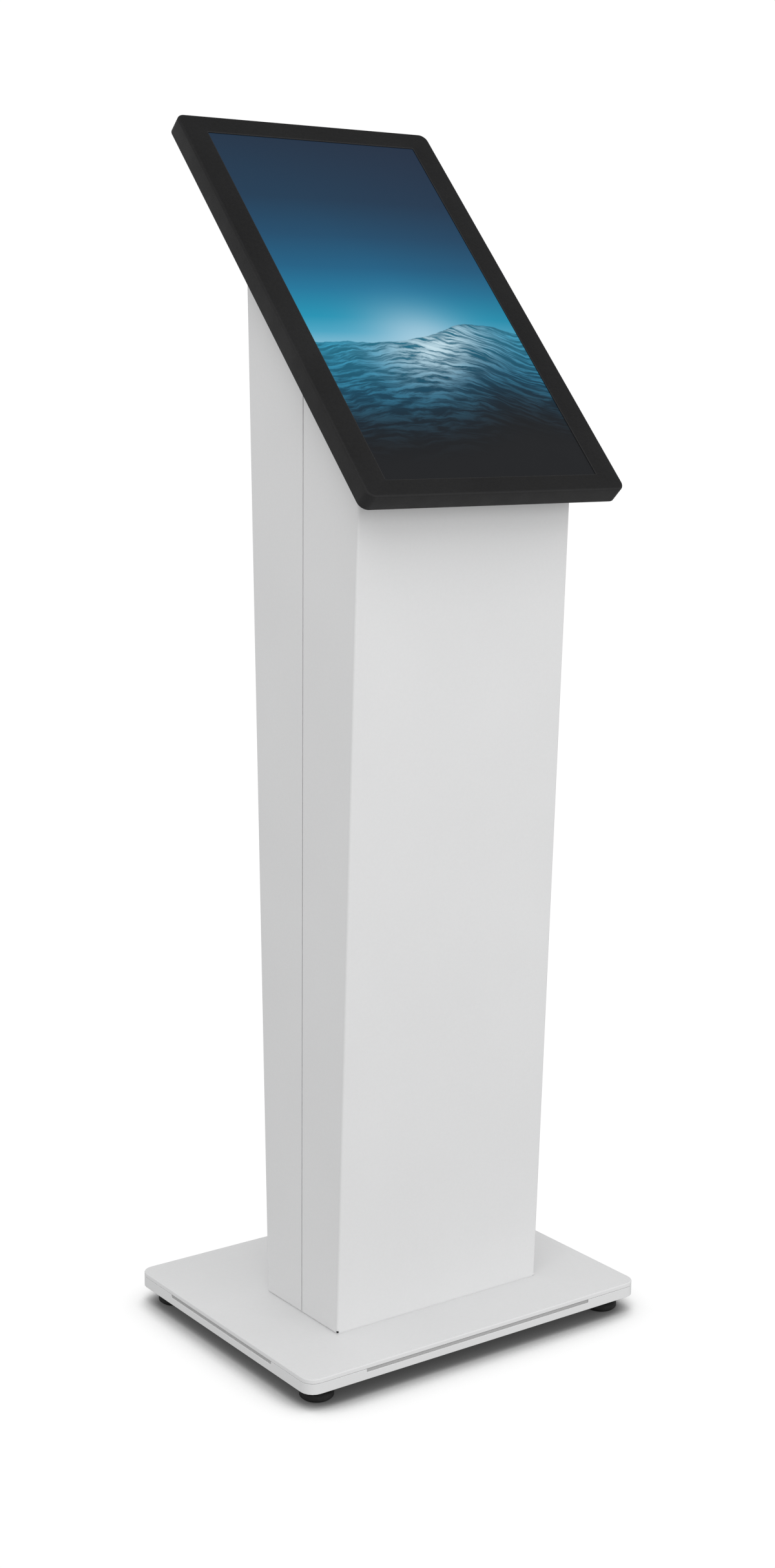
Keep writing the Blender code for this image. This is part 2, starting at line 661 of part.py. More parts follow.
def make_power_supply():
    low = BASE_TOP + GAP + FLANGE_PLATE + GAP
    case = box((-0.070, BASE_Y - 0.078, low), (0.060, BASE_Y - 0.026, low + 0.034))
    bmesh.ops.bevel(case, geom=case.edges[:], offset=0.0015, segments=1, affect="EDGES")
    supply = add("power_supply", case, black_plastic())
    sockets = box((0.055, BASE_Y - 0.060, low + 0.010), (0.064, BASE_Y - 0.044, low + 0.026))
    join(supply, sockets, "output_socket")
    sockets = box((-0.074, BASE_Y - 0.064, low + 0.008), (-0.065, BASE_Y - 0.044, low + 0.028))
    join(supply, sockets, "input_socket")


def make_media_player():
    low = SHELF_Z + SHEET + GAP
    case = box((-0.090, BASE_Y - 0.090, low), (0.060, BASE_Y + 0.022, low + 0.036))
    bmesh.ops.bevel(case, geom=case.edges[:], offset=0.002, segments=2, affect="EDGES")
    player = add("media_player", case, black_plastic())
    socket = box((0.055, BASE_Y - 0.048, low + 0.008), (0.063, BASE_Y - 0.028, low + 0.026))
    join(player, socket, "video_socket")
    fins = bmesh.new()
    for i in range(9):
        x = -0.078 + 0.015 * i
        box((x, BASE_Y - 0.080, low + 0.033), (x + 0.004, BASE_Y + 0.010, low + 0.040), bm=fins)
    cut(player, fins, "cooling_grooves")


def smooth_route(points, per_span=4):
    """Points along a Catmull-Rom curve through the route's own points."""
    points = [Vector(p) for p in points]
    ends = [2 * points[0] - points[1], *points, 2 * points[-1] - points[-2]]
    made = []
    for a, b, c, d in zip(ends, ends[1:], ends[2:], ends[3:]):
        for i in range(per_span):
            t = i / per_span
            line = 2 * b + (c - a) * t + (2 * a - 5 * b + 4 * c - d) * t**2
            made.append((line + (3 * b - a - 3 * c + d) * t**3) / 2)
    return [*made, points[-1]]


def make_lead(name, route, radius):
    """A cable along a smooth route, as a round tube with closed ends."""
    curve = bpy.data.curves.new(name, "CURVE")
    curve.dimensions = "3D"
    curve.bevel_depth = radius
    curve.bevel_resolution = 2
    curve.use_fill_caps = True
    spline = curve.splines.new("POLY")
    points = smooth_route(route)
    spline.points.add(len(points) - 1)
    for slot, point in zip(spline.points, points):
        slot.co = (*point, 1.0)
    curve.materials.append(rubber())
    lead = bpy.data.objects.new(name, curve)
    bpy.context.scene.collection.objects.link(lead)
    return lead


def rear_point(x, y, z):
    """A point of the rear face's frame, in the world."""
    lean = math.atan(COLUMN_LEAN)
    across = REAR_Y + y * math.cos(lean) + z * math.sin(lean)
    return Vector((x, across, BASE_TOP - y * math.sin(lean) + z * math.cos(lean)))


def make_leads():
    supply = BASE_TOP + 2 * GAP + FLANGE_PLATE
    player = SHELF_Z + SHEET + GAP
    start = 0.0195  # just behind the board's sockets
    video = [display_point(CABLE_X - 0.0042, y, CABLE_Z) for y in (start, 0.036, 0.052)]
    video += [(0.084, BASE_Y - 0.036, 0.935), (0.095, BASE_Y - 0.034, 0.860), (0.096, BASE_Y - 0.034, 0.700)]
    video += [(0.096, BASE_Y - 0.036, 0.540), (0.092, BASE_Y - 0.038, 0.476)]
    video += [(0.078, BASE_Y - 0.038, player + 0.017), (0.0635, BASE_Y - 0.038, player + 0.017)]
    make_lead("video_lead", video, 0.0026)
    power = [display_point(CABLE_X + 0.0042, y, CABLE_Z) for y in (start, 0.036, 0.052)]
    power += [(0.090, BASE_Y - 0.018, 0.935), (0.097, BASE_Y - 0.010, 0.860), (0.097, BASE_Y - 0.010, 0.640)]
    power += [(0.096, BASE_Y - 0.010, 0.440), (0.096, BASE_Y - 0.012, 0.240), (0.094, BASE_Y - 0.020, 0.120)]
    power += [(0.088, BASE_Y - 0.044, supply + 0.024), (0.076, BASE_Y - 0.052, supply + 0.018)]
    power.append((0.0645, BASE_Y - 0.052, supply + 0.018))
    make_lead("display_power_lead", power, 0.0030)
    mains = [rear_point(INLET_X, y, INLET_Z) for y in (-0.0285, -0.034, -0.040)]
    mains += [(-0.084, BASE_Y - 0.018, 0.106), (-0.098, BASE_Y - 0.036, 0.082)]
    mains += [(-0.092, BASE_Y - 0.050, supply + 0.022), (-0.084, BASE_Y - 0.054, supply + 0.018)]
    mains.append((-0.0745, BASE_Y - 0.054, supply + 0.018))
    make_lead("mains_lead", mains, 0.0032)


def make_power(rear):
    make_inlet(rear)
    make_rocker(rear)
    make_power_supply()
    make_media_player()
    make_leads()


# ---------------------------------------------------------------- display


def display_ring(inset, y, corner, steps=5):
    """A ring round the display's housing, inset from its outer size, at depth y."""
    outline = rounded_outline(DISPLAY_WIDTH - 2 * inset, DISPLAY_HEIGHT - 2 * inset, corner, steps)
    return upright_ring(outline, y, DISPLAY_LIFT)


def screen_ring(margin, y, steps=5):
    """A ring round the lit area, margin outside it, at depth y."""
    outline = rounded_outline(SCREEN_WIDTH + 2 * margin, SCREEN_HEIGHT + 2 * margin, 0.0006 + margin, steps)
    return upright_ring(outline, y)


def make_bezel(display):
    """Frame in one piece: a thin face with the screen's window, a rounded front edge and deep side walls."""
    chamfer = 0.0004
    rings = [screen_ring(0.0, BEZEL_LIP), screen_ring(0.0, chamfer), screen_ring(chamfer, 0.0)]
    for i in range(4):
        angle = math.radians(30 * i)
        inset = DISPLAY_EDGE * (1 - math.sin(angle))
        rings.append(display_ring(inset, DISPLAY_EDGE * (1 - math.cos(angle)), DISPLAY_CORNER - inset))
    rings.append(display_ring(0.0, DISPLAY_DEPTH - REAR_EDGE, DISPLAY_CORNER))
    rings.append(display_ring(REAR_EDGE, DISPLAY_DEPTH, DISPLAY_CORNER - REAR_EDGE))
    rings.append(display_ring(BEZEL_WALL, DISPLAY_DEPTH, DISPLAY_CORNER - BEZEL_WALL))
    rings.append(display_ring(BEZEL_WALL, BEZEL_LIP, DISPLAY_CORNER - BEZEL_WALL))
    add("display_bezel", loft(rings, ring_of_rings=True), black_paint(), display)


def slab(name, width, height, low, high, corner, mat, display):
    """A rounded sheet of the display's stack."""
    outline = rounded_outline(width, height, corner, 3)
    return add(name, loft([upright_ring(outline, y) for y in (low, high)]), mat, display)


def make_gasket(display):
    section = [(0.0, 0.0013), (0.0045, 0.0013), (0.0045, 0.0043), (0.0, 0.0043)]
    rings = []
    for out, y in section:
        outline = rounded_outline(0.2966 + 2 * out, 0.5006 + 2 * out, 0.003 + out / 2, 2)
        rings.append(upright_ring(outline, y))
    add("glass_gasket", loft(rings, ring_of_rings=True), rubber(), display)


def make_controller_board(display):
    low, high = 0.0144, 0.0160
    board = add("controller_board", box((0.010, low, -0.165), (0.130, high, -0.085)), circuit(), display)
    parts = box((CABLE_X - 0.0085, 0.0155, CABLE_Z - 0.006), (CABLE_X + 0.0085, 0.0190, CABLE_Z + 0.006))
    box((0.018, 0.0155, -0.158), (0.040, 0.0178, -0.136), bm=parts)
    box((0.096, 0.0155, -0.158), (0.112, 0.0176, -0.142), bm=parts)
    box((0.100, 0.0155, -0.110), (0.122, 0.0180, -0.094), bm=parts)
    join(board, parts, "components", display)


def make_back_cover(display):
    """A pan that closes the housing from behind, inside the bezel's walls."""
    outer = BEZEL_WALL + GAP
    inner = outer + COVER_SHEET
    floor = DISPLAY_DEPTH - COVER_SHEET
    rings = [display_ring(inner, y, DISPLAY_CORNER - inner) for y in (floor, 0.0130)]
    rings += [display_ring(outer, y, DISPLAY_CORNER - outer) for y in (0.0130, DISPLAY_DEPTH)]
    cover = add("display_back_cover", loft(rings), black_paint(), display)
    low, high = floor - 0.001, DISPLAY_DEPTH + 0.001
    holes = cylinder((CABLE_X, CABLE_Z), 0.014, low, high, "y", 18)
    for x in (-MOUNT_HOLES, MOUNT_HOLES):
        for z in (-MOUNT_HOLES, MOUNT_HOLES):
            cylinder((x, z), 0.0023, low, high, "y", 12, holes)
    cut(cover, holes, "round_holes", display)
    keys = bmesh.new()
    for z in KEY_Z:
        box((KEY_X - 0.0029, low, z - 0.0044), (KEY_X + 0.0029, high, z + 0.0044), bm=keys)
    cut(cover, keys, "key_holes", display)
    grille = [(x, 0.190 + 0.005 * i) for x in (-0.080, 0.080) for i in range(5)]
    cut(cover, slots(0.040, 0.002, grille, low, high), "speaker_grilles", display)
    vents = [(x, 0.125 + 0.008 * i) for x in (-0.080, 0.0, 0.080) for i in range(4)]
    cut(cover, slots(0.050, 0.003, vents, low, high), "vents", display)


def make_mount_plate(display):
    low, high = DISPLAY_DEPTH + GAP, DISPLAY_DEPTH + GAP + MOUNT_PLATE
    plate = slab("display_mount_plate", MOUNT_SIZE, MOUNT_SIZE, low, high, 0.006, steel(), display)
    holes = bmesh.new()
    names = ("lower_left", "upper_left", "lower_right", "upper_right")
    places = [(x, z) for x in (-MOUNT_HOLES, MOUNT_HOLES) for z in (-MOUNT_HOLES, MOUNT_HOLES)]
    for name, (x, z) in zip(names, places):
        cylinder((x, z), 0.0023, low - 0.001, high + 0.001, "y", 12, holes)
        head = high + GAP
        profile = [(0.0019, 0.0150), (0.0019, head), (0.0036, head), (0.0036, head + 0.0018)]
        profile.append((0.0024, head + 0.0026))
        add(f"mount_screw_{name}", turned(profile, (x, z), "y", 12), steel(), display)
    cut(plate, holes, "screw_holes", display)


def make_keys(display):
    """Four spring keys in the back cover, on a strip board with a switch under each."""
    strip = add("key_board", box((0.133, 0.0135, 0.138), (0.147, 0.0151, 0.228)), circuit(), display)
    switches = bmesh.new()
    for name, z in zip(KEY_NAMES, KEY_Z):
        box((KEY_X - 0.0022, 0.0146, z - 0.0022), (KEY_X + 0.0022, 0.0158, z + 0.0022), bm=switches)
        key = box((KEY_X - 0.0042, 0.0171, z - 0.0056), (KEY_X + 0.0042, 0.0182, z + 0.0056))
        cap = add(name, key, black_plastic(), display, (KEY_X, DISPLAY_DEPTH, z))
        outline = [(x + KEY_X, y + z) for x, y in rounded_outline(0.0052, 0.0082, 0.0012, 3)]
        tight = [(x + KEY_X, y + z) for x, y in rounded_outline(0.0044, 0.0074, 0.0010, 3)]
        rings = [upright_ring(outline, 0.0178), upright_ring(outline, 0.0214), upright_ring(tight, 0.0219)]
        join(cap, loft(rings), "cap", display)
    join(strip, switches, "switches", display)


def make_display(display):
    make_bezel(display)
    slab("touch_glass", 0.296, 0.500, 0.0013, 0.0043, 0.003, glass(), display)
    make_gasket(display)
    slab("lcd_panel", 0.2780, 0.4870, 0.0046, 0.0062, 0.001, glass(), display)
    slab("backlight_unit", 0.290, 0.498, 0.0065, 0.0120, 0.002, steel(), display)
    for side, sign in (("left", -1), ("right", 1)):
        x = sign * 0.080
        speaker = box((x - 0.030, 0.0124, 0.186), (x + 0.030, 0.0182, 0.214))
        bmesh.ops.bevel(speaker, geom=speaker.edges[:], offset=0.001, segments=1, affect="EDGES")
        add(f"speaker_{side}", speaker, black_plastic(), display)
    make_controller_board(display)
    make_back_cover(display)
    make_mount_plate(display)
    make_keys(display)


def main():
    clear_scene()
    display = frame_empty("display_frame", (0.0, SCREEN_Y, SCREEN_Z), TILT)
    rear = frame_empty("rear_face_frame", (0.0, REAR_Y, BASE_TOP), math.atan(COLUMN_LEAN))
    make_base()
    make_column(rear, display)
    make_service_door(rear)
    make_power(rear)
    make_display(display)


main()
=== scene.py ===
"""Looks of the touchscreen kiosk: finishes, fine detail, floor, lights and camera.

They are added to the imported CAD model. Metres, +Z up, front towards -Y, as in the CAD. Two local frames are
used besides the world. The display's has x to the right, y into the display and z up the screen, from the
middle of the lit area. The rear face's has x to the right, y out of the face and z up it, from the base
plate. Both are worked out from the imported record.
"""

import json
import math

import bmesh
import bpy
from mathutils import Matrix, Vector


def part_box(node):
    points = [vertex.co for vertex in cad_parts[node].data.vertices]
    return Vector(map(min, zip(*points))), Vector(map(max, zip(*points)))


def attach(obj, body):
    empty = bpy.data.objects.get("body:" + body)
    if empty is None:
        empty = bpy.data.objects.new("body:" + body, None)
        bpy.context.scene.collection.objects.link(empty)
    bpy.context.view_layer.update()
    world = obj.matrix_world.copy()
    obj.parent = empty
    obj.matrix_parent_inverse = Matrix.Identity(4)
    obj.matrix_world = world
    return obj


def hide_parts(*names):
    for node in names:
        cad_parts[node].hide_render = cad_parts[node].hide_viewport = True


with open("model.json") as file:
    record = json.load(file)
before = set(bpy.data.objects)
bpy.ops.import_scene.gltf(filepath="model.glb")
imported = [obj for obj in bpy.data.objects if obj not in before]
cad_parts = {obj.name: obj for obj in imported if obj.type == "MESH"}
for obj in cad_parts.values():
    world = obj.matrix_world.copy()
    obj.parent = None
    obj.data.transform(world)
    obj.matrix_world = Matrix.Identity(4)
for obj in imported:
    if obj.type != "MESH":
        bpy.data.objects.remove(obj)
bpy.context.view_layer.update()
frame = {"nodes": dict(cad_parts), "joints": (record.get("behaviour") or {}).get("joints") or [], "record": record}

GAP = 0.0003  # between CAD pieces that touch
CLEAR = 0.0001  # between a fine piece and what it fits in
SHEET = 0.002  # the column's steel

# Display
LIT_WIDTH = 0.2678
LIT_HEIGHT = 0.4761
LIFT = 0.0020  # the housing's centre lies this far above the lit area's centre
HOUSING_CORNER = 0.010
HOUSING_EDGE = 0.0025
HOUSING_REAR_EDGE = 0.0008
HOUSING_WALL = 0.0016
WINDOW_CORNER = 0.0006
WINDOW_LIP = 0.0010
WINDOW_CHAMFER = 0.0004
GLASS_FRONT = 0.0013  # how far the glass's two faces lie behind the display's front
GLASS_BACK = 0.0043
GLASS_GROUND = 0.0004  # ground off its edges
GLASS_CORNER = 0.003
BACK_SCREW_X = 0.148
BACK_SCREW_HEIGHTS = (-0.243, 0.0, 0.247)
LAMP_DROP = 0.0090  # from the lowest key to the status lamp

# Picture, in shares of the lit area's width and height from its middle
HORIZON = -0.121
SWELL_MIDDLE = 0.30
SWELL_HEIGHT = 0.060
HAZE = 0.0042  # light that the matt glass adds all over it

# Column and base
SEAM_DEPTH = 0.0017  # how far the strip in the column's side seams lies below the surface
SEAM_STRIP = 0.0005
FOOT_SEAL_FRONT = 0.0004  # how far the seal under the column is set back, at the front and elsewhere
FOOT_SEAL_SIDE = 0.0010
FOOT_SEAL = 0.0009
SLOT_DEPTH = 0.0013  # how far the strip in the tray's slots lies below the surface
SLOT_STRIP = 0.0007
SLOT_HEIGHT = 0.0037  # from the tray's top edge down to the slots' lower edge
SLOT_TOP = 0.0005  # from the tray's top edge down to the strip
SLOTS = (("front", 1, -1, 0.302), ("rear", 1, 1, 0.302), ("left", 0, -1, 0.204), ("right", 0, 1, 0.204))
CORNER_PLUG = 0.0018
BOLT_X = 0.085
BOLT_INSET = 0.016
REAR_SCREW_X = 0.1190
REAR_SCREW_HEIGHTS = (0.030, 0.190, 0.300, 0.545, 0.800, 0.930)
REAR_VENTS = (0.900, 0.955)
FOOT_PLACES = ("front_left", "front_right", "rear_left", "rear_right")
THREAD_RADIUS = 0.0050
THREAD_PITCH = 0.0015
THREAD_DEPTH = 0.0009

# Service door
HINGE_SCREWS = ((0.0155, 0.012), (0.0115, 0.030), (0.0155, 0.048))  # from the pin, and up the leaf
HINGE_LEAF = 0.0015
STIFFENER_X = 0.048
STIFFENER_REACH = 0.155  # half its height
STIFFENER_DEPTH = 0.0080
STIFFENER_SHEET = 0.0010
DOOR_VENTS = (0.050, 0.105)  # from the door's nearer end
DOOR_LIP_X = 0.0930  # half the width inside the door frame's lip
MESH_PITCH = 0.0021
MESH_WIRE = 0.00028
MESH_HALF_WIDTH = 0.060
MESH_MARGIN = 0.007
MESH_FRAME = 0.0016

# Power and electronics
ROCKER_TIP = math.radians(7.0)  # the rocker leans this far either side of level
ROCKER_SLOPE = math.atan2(0.0012, 0.0083)
ROCKER_CREST = 0.0012
ROCKER_MARK = 0.0048  # from the crest to each mark
LEAD_RADIUS = {"video_lead": 0.0026, "display_power_lead": 0.0030, "mains_lead": 0.0032}
TIE_HEIGHTS = (0.52, 0.66, 0.80)

# Camera and studio
CAMERA_PLACE = (-1.3746, -1.8916, 1.0430)
CAMERA_TURN = math.radians(-35.917)
CAMERA_PITCH = math.radians(79.31)
CAMERA_ROLL = math.radians(0.508)
CAMERA_LENS = 50.17
SENSOR = 36.0
PAPER_WHITE = 1.02  # how bright the surroundings look to the camera
ROOM_LIGHT = 0.85  # the light that they and the floor give, and the two lamps' in watts
FLOOR_LIGHT = 0.54
CEILING_GLOSS = 0.15  # how strongly the ceiling shows in reflections, where the walls show fully
KEY_POWER = 34.0
TOP_POWER = 23.0


# ---- frames of reference


def joint_axis(name):
    return Vector(next(j for j in frame["joints"] if j["name"] == name)["axis"]).normalized()


def corners(node, place):
    """Lowest and highest corner of a CAD node in a frame's own coordinates."""
    inverse = place.inverted()
    points = [inverse @ v.co for v in frame["nodes"][node].data.vertices]
    low = Vector([min(p[i] for p in points) for i in range(3)])
    high = Vector([max(p[i] for p in points) for i in range(3)])
    return low, high


def frame_matrix(axes, origin):
    rows = [[axes[0][i], axes[1][i], axes[2][i], origin[i]] for i in range(3)]
    return Matrix([*rows, [0.0, 0.0, 0.0, 1.0]])


def display_frame():
    out = joint_axis("key_power_press")
    axes = (Vector((1, 0, 0)), -out, Vector((0, out.z, -out.y)))
    low, high = corners("display_bezel", frame_matrix(axes, (0, 0, 0)))
    origin = axes[1] * low.y + axes[2] * ((low.z + high.z) / 2 - LIFT)
    return frame_matrix(axes, origin), high - low


def rear_frame():
    up = joint_axis("door_swing")
    axes = (Vector((1, 0, 0)), Vector((0, up.z, -up.y)), up)
    high = corners("rear_cover", frame_matrix(axes, (0, 0, 0)))[1]
    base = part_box("base_top_plate")[1].z
    origin = Vector((0, (high.y - axes[1].z * base) / axes[1].y, base))
    return frame_matrix(axes, origin)


def joint_place(name, frame_of):
    """A joint's point in a frame's own coordinates."""
    joint = next(j for j in frame["joints"] if j["name"] == name)
    return frame_of.inverted() @ Vector(joint["pos_m"])


DISPLAY, HOUSING = display_frame()
REAR = rear_frame()
WORLD = Matrix.Identity(4)


def turned_to(place, point, angle=0.0, axis="Z"):
    """A place at a point of a frame, turned about one of its axes."""
    return place @ Matrix.Translation(point) @ Matrix.Rotation(angle, 4, axis)


def height_under_display(y, depth):
    """World height at which an upright line at y meets the plane at depth behind the display's face."""
    into = DISPLAY.col[1]
    origin = DISPLAY.translation
    return origin.z + (depth - into.y * (y - origin.y)) / into.z


def bottom_edge(node):
    """The y values of a cover's points along its bottom edge."""
    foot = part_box("front_cover")[0].z + CLEAR
    return [v.co.y for v in frame["nodes"][node].data.vertices if v.co.z < foot]


def lead_section(name, height):
    """Middle of a lead, at its ring of points nearest to a height."""
    points = [v.co for v in frame["nodes"][name].data.vertices]
    nearest = min(points, key=lambda co: abs(co.z - height))
    ring = [co for co in points if (co - nearest).length < 0.0075]
    return sum(ring, Vector()) / len(ring)


def lead_end(name, below, way):
    """The middle of the end of a lead that lies lowest, at its furthest reach along x."""
    points = [v.co for v in frame["nodes"][name].data.vertices if v.co.z < below]
    reach = max(way * co.x for co in points)
    ring = [co for co in points if way * co.x > reach - 0.0002]
    return sum(ring, Vector()) / len(ring)


# ---- materials


def srgb(red, green, blue):
    """A colour from 0 to 255 values, as linear numbers."""
    values = []
    for value in (red, green, blue):
        value /= 255
        values.append(value / 12.92 if value <= 0.04045 else ((value + 0.055) / 1.055) ** 2.4)
    return values


def grey(value):
    return (value, value, value, 1.0)


class NodeKit:
    """Short calls that add procedural nodes to a node tree, and return the output that is used."""

    def __init__(self, tree):
        self.nodes = tree.nodes
        self.links = tree.links

    def feed(self, socket, value):
        """Gives a socket a value, or links a node's output to it."""
        if isinstance(value, bpy.types.NodeSocket):
            self.links.new(value, socket)
        else:
            socket.default_value = value

    def node(self, kind, inputs=(), output=0, **settings):
        made = self.nodes.new(f"ShaderNode{kind}")
        for name, value in settings.items():
            setattr(made, name, value)
        for name, value in dict(inputs).items():
            self.feed(made.inputs[name], value)
        return made.outputs[output]

    def math(self, operation, a, b=0.0):
        return self.node("Math", {0: a, 1: b}, operation=operation)

    def times(self, value, *factors):
        for factor in factors:
            value = self.math("MULTIPLY", value, factor)
        return value

    def plus(self, value, *terms):
        for term in terms:
            value = self.math("ADD", value, term)
        return value

    def span(self, value, low, high, to_low=0.0, to_high=1.0, smooth=False):
        """Maps low..high to to_low..to_high, and stops at the ends."""
        inputs = {"Value": value, "From Min": low, "From Max": high, "To Min": to_low, "To Max": to_high}
        return self.node("MapRange", inputs, interpolation_type="SMOOTHSTEP" if smooth else "LINEAR")

    def ramp(self, value, stops):
        node = self.nodes.new("ShaderNodeValToRGB")
        elements = node.color_ramp.elements
        while len(elements) < len(stops):
            elements.new(0.5)
        for element, (position, color) in zip(elements, stops):
            element.position = position
            element.color = color
        self.feed(node.inputs[0], value)
        return node.outputs["Color"]

    def greys(self, value, *stops):
        return self.ramp(value, [(position, grey(shade)) for position, shade in stops])

    def mix(self, factor, a, b, blend="MIX"):
        color_output = 2
        inputs = {"Factor": factor, "A": a, "B": b}
        return self.node("Mix", inputs, color_output, data_type="RGBA", blend_type=blend)


class Look(NodeKit):
    """A Principled material. Its patterns are laid out in the object's own coordinates."""

    def __init__(self, name, color=None, roughness=0.5, metallic=0.0, specular=0.5):
        self.material = bpy.data.materials.new(name)
        self.material.use_nodes = True
        super().__init__(self.material.node_tree)
        self.shader = self.nodes["Principled BSDF"]
        self.set("Roughness", roughness)
        self.set("Metallic", metallic)
        self.set("Specular IOR Level", specular)
        if color:
            self.set("Base Color", color)
        self.place = self.node("TexCoord", output="Object")

    def set(self, name, value):
        self.feed(self.shader.inputs[name], value)

    def stretched(self, scale):
        """Object coordinates multiplied by scale, per axis."""
        return self.node("Mapping", {"Vector": self.place, "Scale": scale}, vector_type="POINT")

    def noise(self, scale, detail=2.0, roughness=0.5, distortion=0.0, where=None):
        inputs = {"Scale": scale, "Detail": detail, "Roughness": roughness, "Distortion": distortion}
        inputs["Vector"] = where or self.place
        return self.node("TexNoise", inputs, "Fac")

    def cells(self, scale, output="Distance", distance="EUCLIDEAN"):
        return self.node("TexVoronoi", {"Scale": scale, "Vector": self.place}, output, distance=distance)

    def bump(self, height, distance, after=None):
        inputs = {"Strength": 1.0, "Distance": distance, "Height": height}
        if after:
            inputs["Normal"] = after
        return self.node("Bump", inputs)

    def edges(self, radius):
        """1 along sharp outer and inner edges, 0 on flat faces."""
        rounded = self.node("Bevel", {"Radius": radius}, samples=4)
        facing = self.node("NewGeometry", output="Normal")
        along = self.node("VectorMath", {0: rounded, 1: facing}, "Value", operation="DOT_PRODUCT")
        return self.span(along, 0.995, 0.85)


def powder_coat(name, color, speck, roughness, specular, peel, grain, edge_reach=0.0007, edge_wear_and_sheen=None):
    """Powder coat: orange peel, finer grain, faint clouding, and edges where the coat thins and polishes. The
    edges are also lightened in colour: a little for rubbed coat, and on the black coat a painted highlight.
    """
    look = Look(name, roughness=roughness, specular=specular)
    cloud = look.noise(7.0, 3.0)
    fine = look.noise(1400.0, 2.0)
    grains = look.noise(330.0, 2.0)
    light, dark = [(*[c * (1 + k * speck) for c in color], 1.0) for k in (1, -1)]
    tone = look.ramp(look.span(cloud, 0.3, 0.7), [(0.0, dark), (1.0, light)])
    for pattern in (fine, grains):
        specks = look.greys(pattern, (0.35, 1 - speck), (0.65, 1.0))
        tone = look.mix(1.0, tone, specks, "MULTIPLY")
    edge = look.edges(edge_reach)
    # Edge tone: a little rubbed coat, and on the black coat a painted highlight along the rounded edges.
    look.set("Base Color", look.mix(look.times(edge, 0.4), tone, edge_wear_and_sheen or light))
    rough = look.span(look.noise(45.0, 3.0), 0.3, 0.7, roughness - 0.04, roughness + 0.04)
    look.set("Roughness", look.math("SUBTRACT", rough, look.times(edge, 0.08)))
    coarse = look.bump(look.noise(620.0, 1.5), peel)
    look.set("Normal", look.bump(fine, grain, coarse))
    return look


def white_paint():
    return powder_coat("white_powder_coat", (0.74, 0.742, 0.745), 0.012, 0.5, 0.35, 0.00003, 0.00001)


def black_paint():
    tone = (0.0140, 0.0140, 0.0145)
    # Painted highlight tone for the bezel's rounded edges.
    edge_wear_and_sheen = (0.07, 0.07, 0.072, 1.0)
    return powder_coat("black_powder_coat", tone, 0.16, 0.60, 0.28, 0.00005, 0.00005, 0.0020, edge_wear_and_sheen)


def zinc_steel():
    """Bright zinc plating: soft spangle, fine rolling lines and a faint warm and cool tint."""
    look = Look("zinc_plate", roughness=0.35, metallic=1.0)
    spangle = look.cells(160.0, "Color")
    tint = look.ramp(look.noise(9.0, 3.0), [(0.35, (0.50, 0.53, 0.58, 1)), (0.65, (0.60, 0.59, 0.555, 1))])
    crystals = look.greys(look.noise(70.0, 2.0, where=spangle), (0.3, 0.90), (0.7, 1.0))
    look.set("Base Color", look.mix(1.0, tint, crystals, "MULTIPLY"))
    lines = look.noise(1.0, 3.0, where=look.stretched((2200.0, 2200.0, 30.0)))
    look.set("Roughness", look.span(lines, 0.3, 0.7, 0.28, 0.44))
    look.set("Normal", look.bump(lines, 0.000006))
    return look


def moulded_plastic():
    """Matt spark-eroded plastic, smoother where hands and tools rub its edges."""
    look = Look("moulded_plastic", roughness=0.48, specular=0.35)
    pits = look.noise(2600.0, 2.0)
    look.set("Base Color", look.greys(pits, (0.3, 0.011), (0.7, 0.019)))
    edge_wear_and_sheen = look.times(look.edges(0.0005), 0.16)
    rough = look.span(look.noise(60.0, 3.0), 0.3, 0.7, 0.42, 0.55)
    look.set("Roughness", look.math("SUBTRACT", rough, edge_wear_and_sheen))
    look.set("Normal", look.bump(pits, 0.00003))
    return look


def soft_rubber():
    """Matt rubber with a dusty bloom."""
    look = Look("soft_rubber", roughness=0.8, specular=0.3)
    bloom = look.noise(110.0, 4.0, 0.65)
    look.set("Base Color", look.greys(bloom, (0.35, 0.013), (0.75, 0.030)))
    look.set("Roughness", look.span(bloom, 0.3, 0.7, 0.72, 0.9))
    look.set("Normal", look.bump(look.noise(1500.0, 3.0), 0.00003))
    return look


def cable_sheath():
    """Extruded sheath: a little glossier than rubber, with long faint drawing marks."""
    look = Look("cable_sheath", roughness=0.5, specular=0.4)
    marks = look.noise(1.0, 3.0, where=look.stretched((900.0, 900.0, 60.0)))
    look.set("Base Color", look.greys(marks, (0.3, 0.010), (0.7, 0.020)))
    look.set("Roughness", look.span(marks, 0.3, 0.7, 0.42, 0.6))
    look.set("Normal", look.bump(marks, 0.00002))
    return look


def solder_mask():
    """Green board: copper tracks under the mask, and pale pads."""
    look = Look("solder_mask", roughness=0.35)
    tracks = look.span(look.cells(520.0, distance="MANHATTAN"), 0.25, 0.32)
    board = look.mix(tracks, (0.012, 0.10, 0.045, 1), (0.006, 0.055, 0.028, 1))
    pads = look.span(look.cells(330.0), 0.16, 0.13)
    look.set("Base Color", look.mix(pads, board, (0.55, 0.55, 0.50, 1)))
    look.set("Metallic", look.times(pads, 0.8))
    look.set("Normal", look.bump(tracks, -0.00004))
    return look


def bright_metal(name, color, roughness):
    """Turned and plated small parts, such as screws, pins and blades."""
    look = Look(name, roughness=roughness, metallic=1.0)
    turning = look.noise(1.0, 2.0, where=look.stretched((700.0, 5000.0, 700.0)))
    dark = [c * 0.86 for c in color]
    look.set("Base Color", look.ramp(turning, [(0.35, (*dark, 1.0)), (0.65, (*color, 1.0))]))
    look.set("Roughness", look.span(turning, 0.3, 0.7, roughness - 0.06, roughness + 0.08))
    look.set("Normal", look.bump(turning, 0.000004))
    return look


def on_screen(red, green, blue):
    """What the picture gives for a colour to be seen through the glass's haze."""
    return (*[max(value - HAZE, 0.0) for value in srgb(red, green, blue)], 1.0)


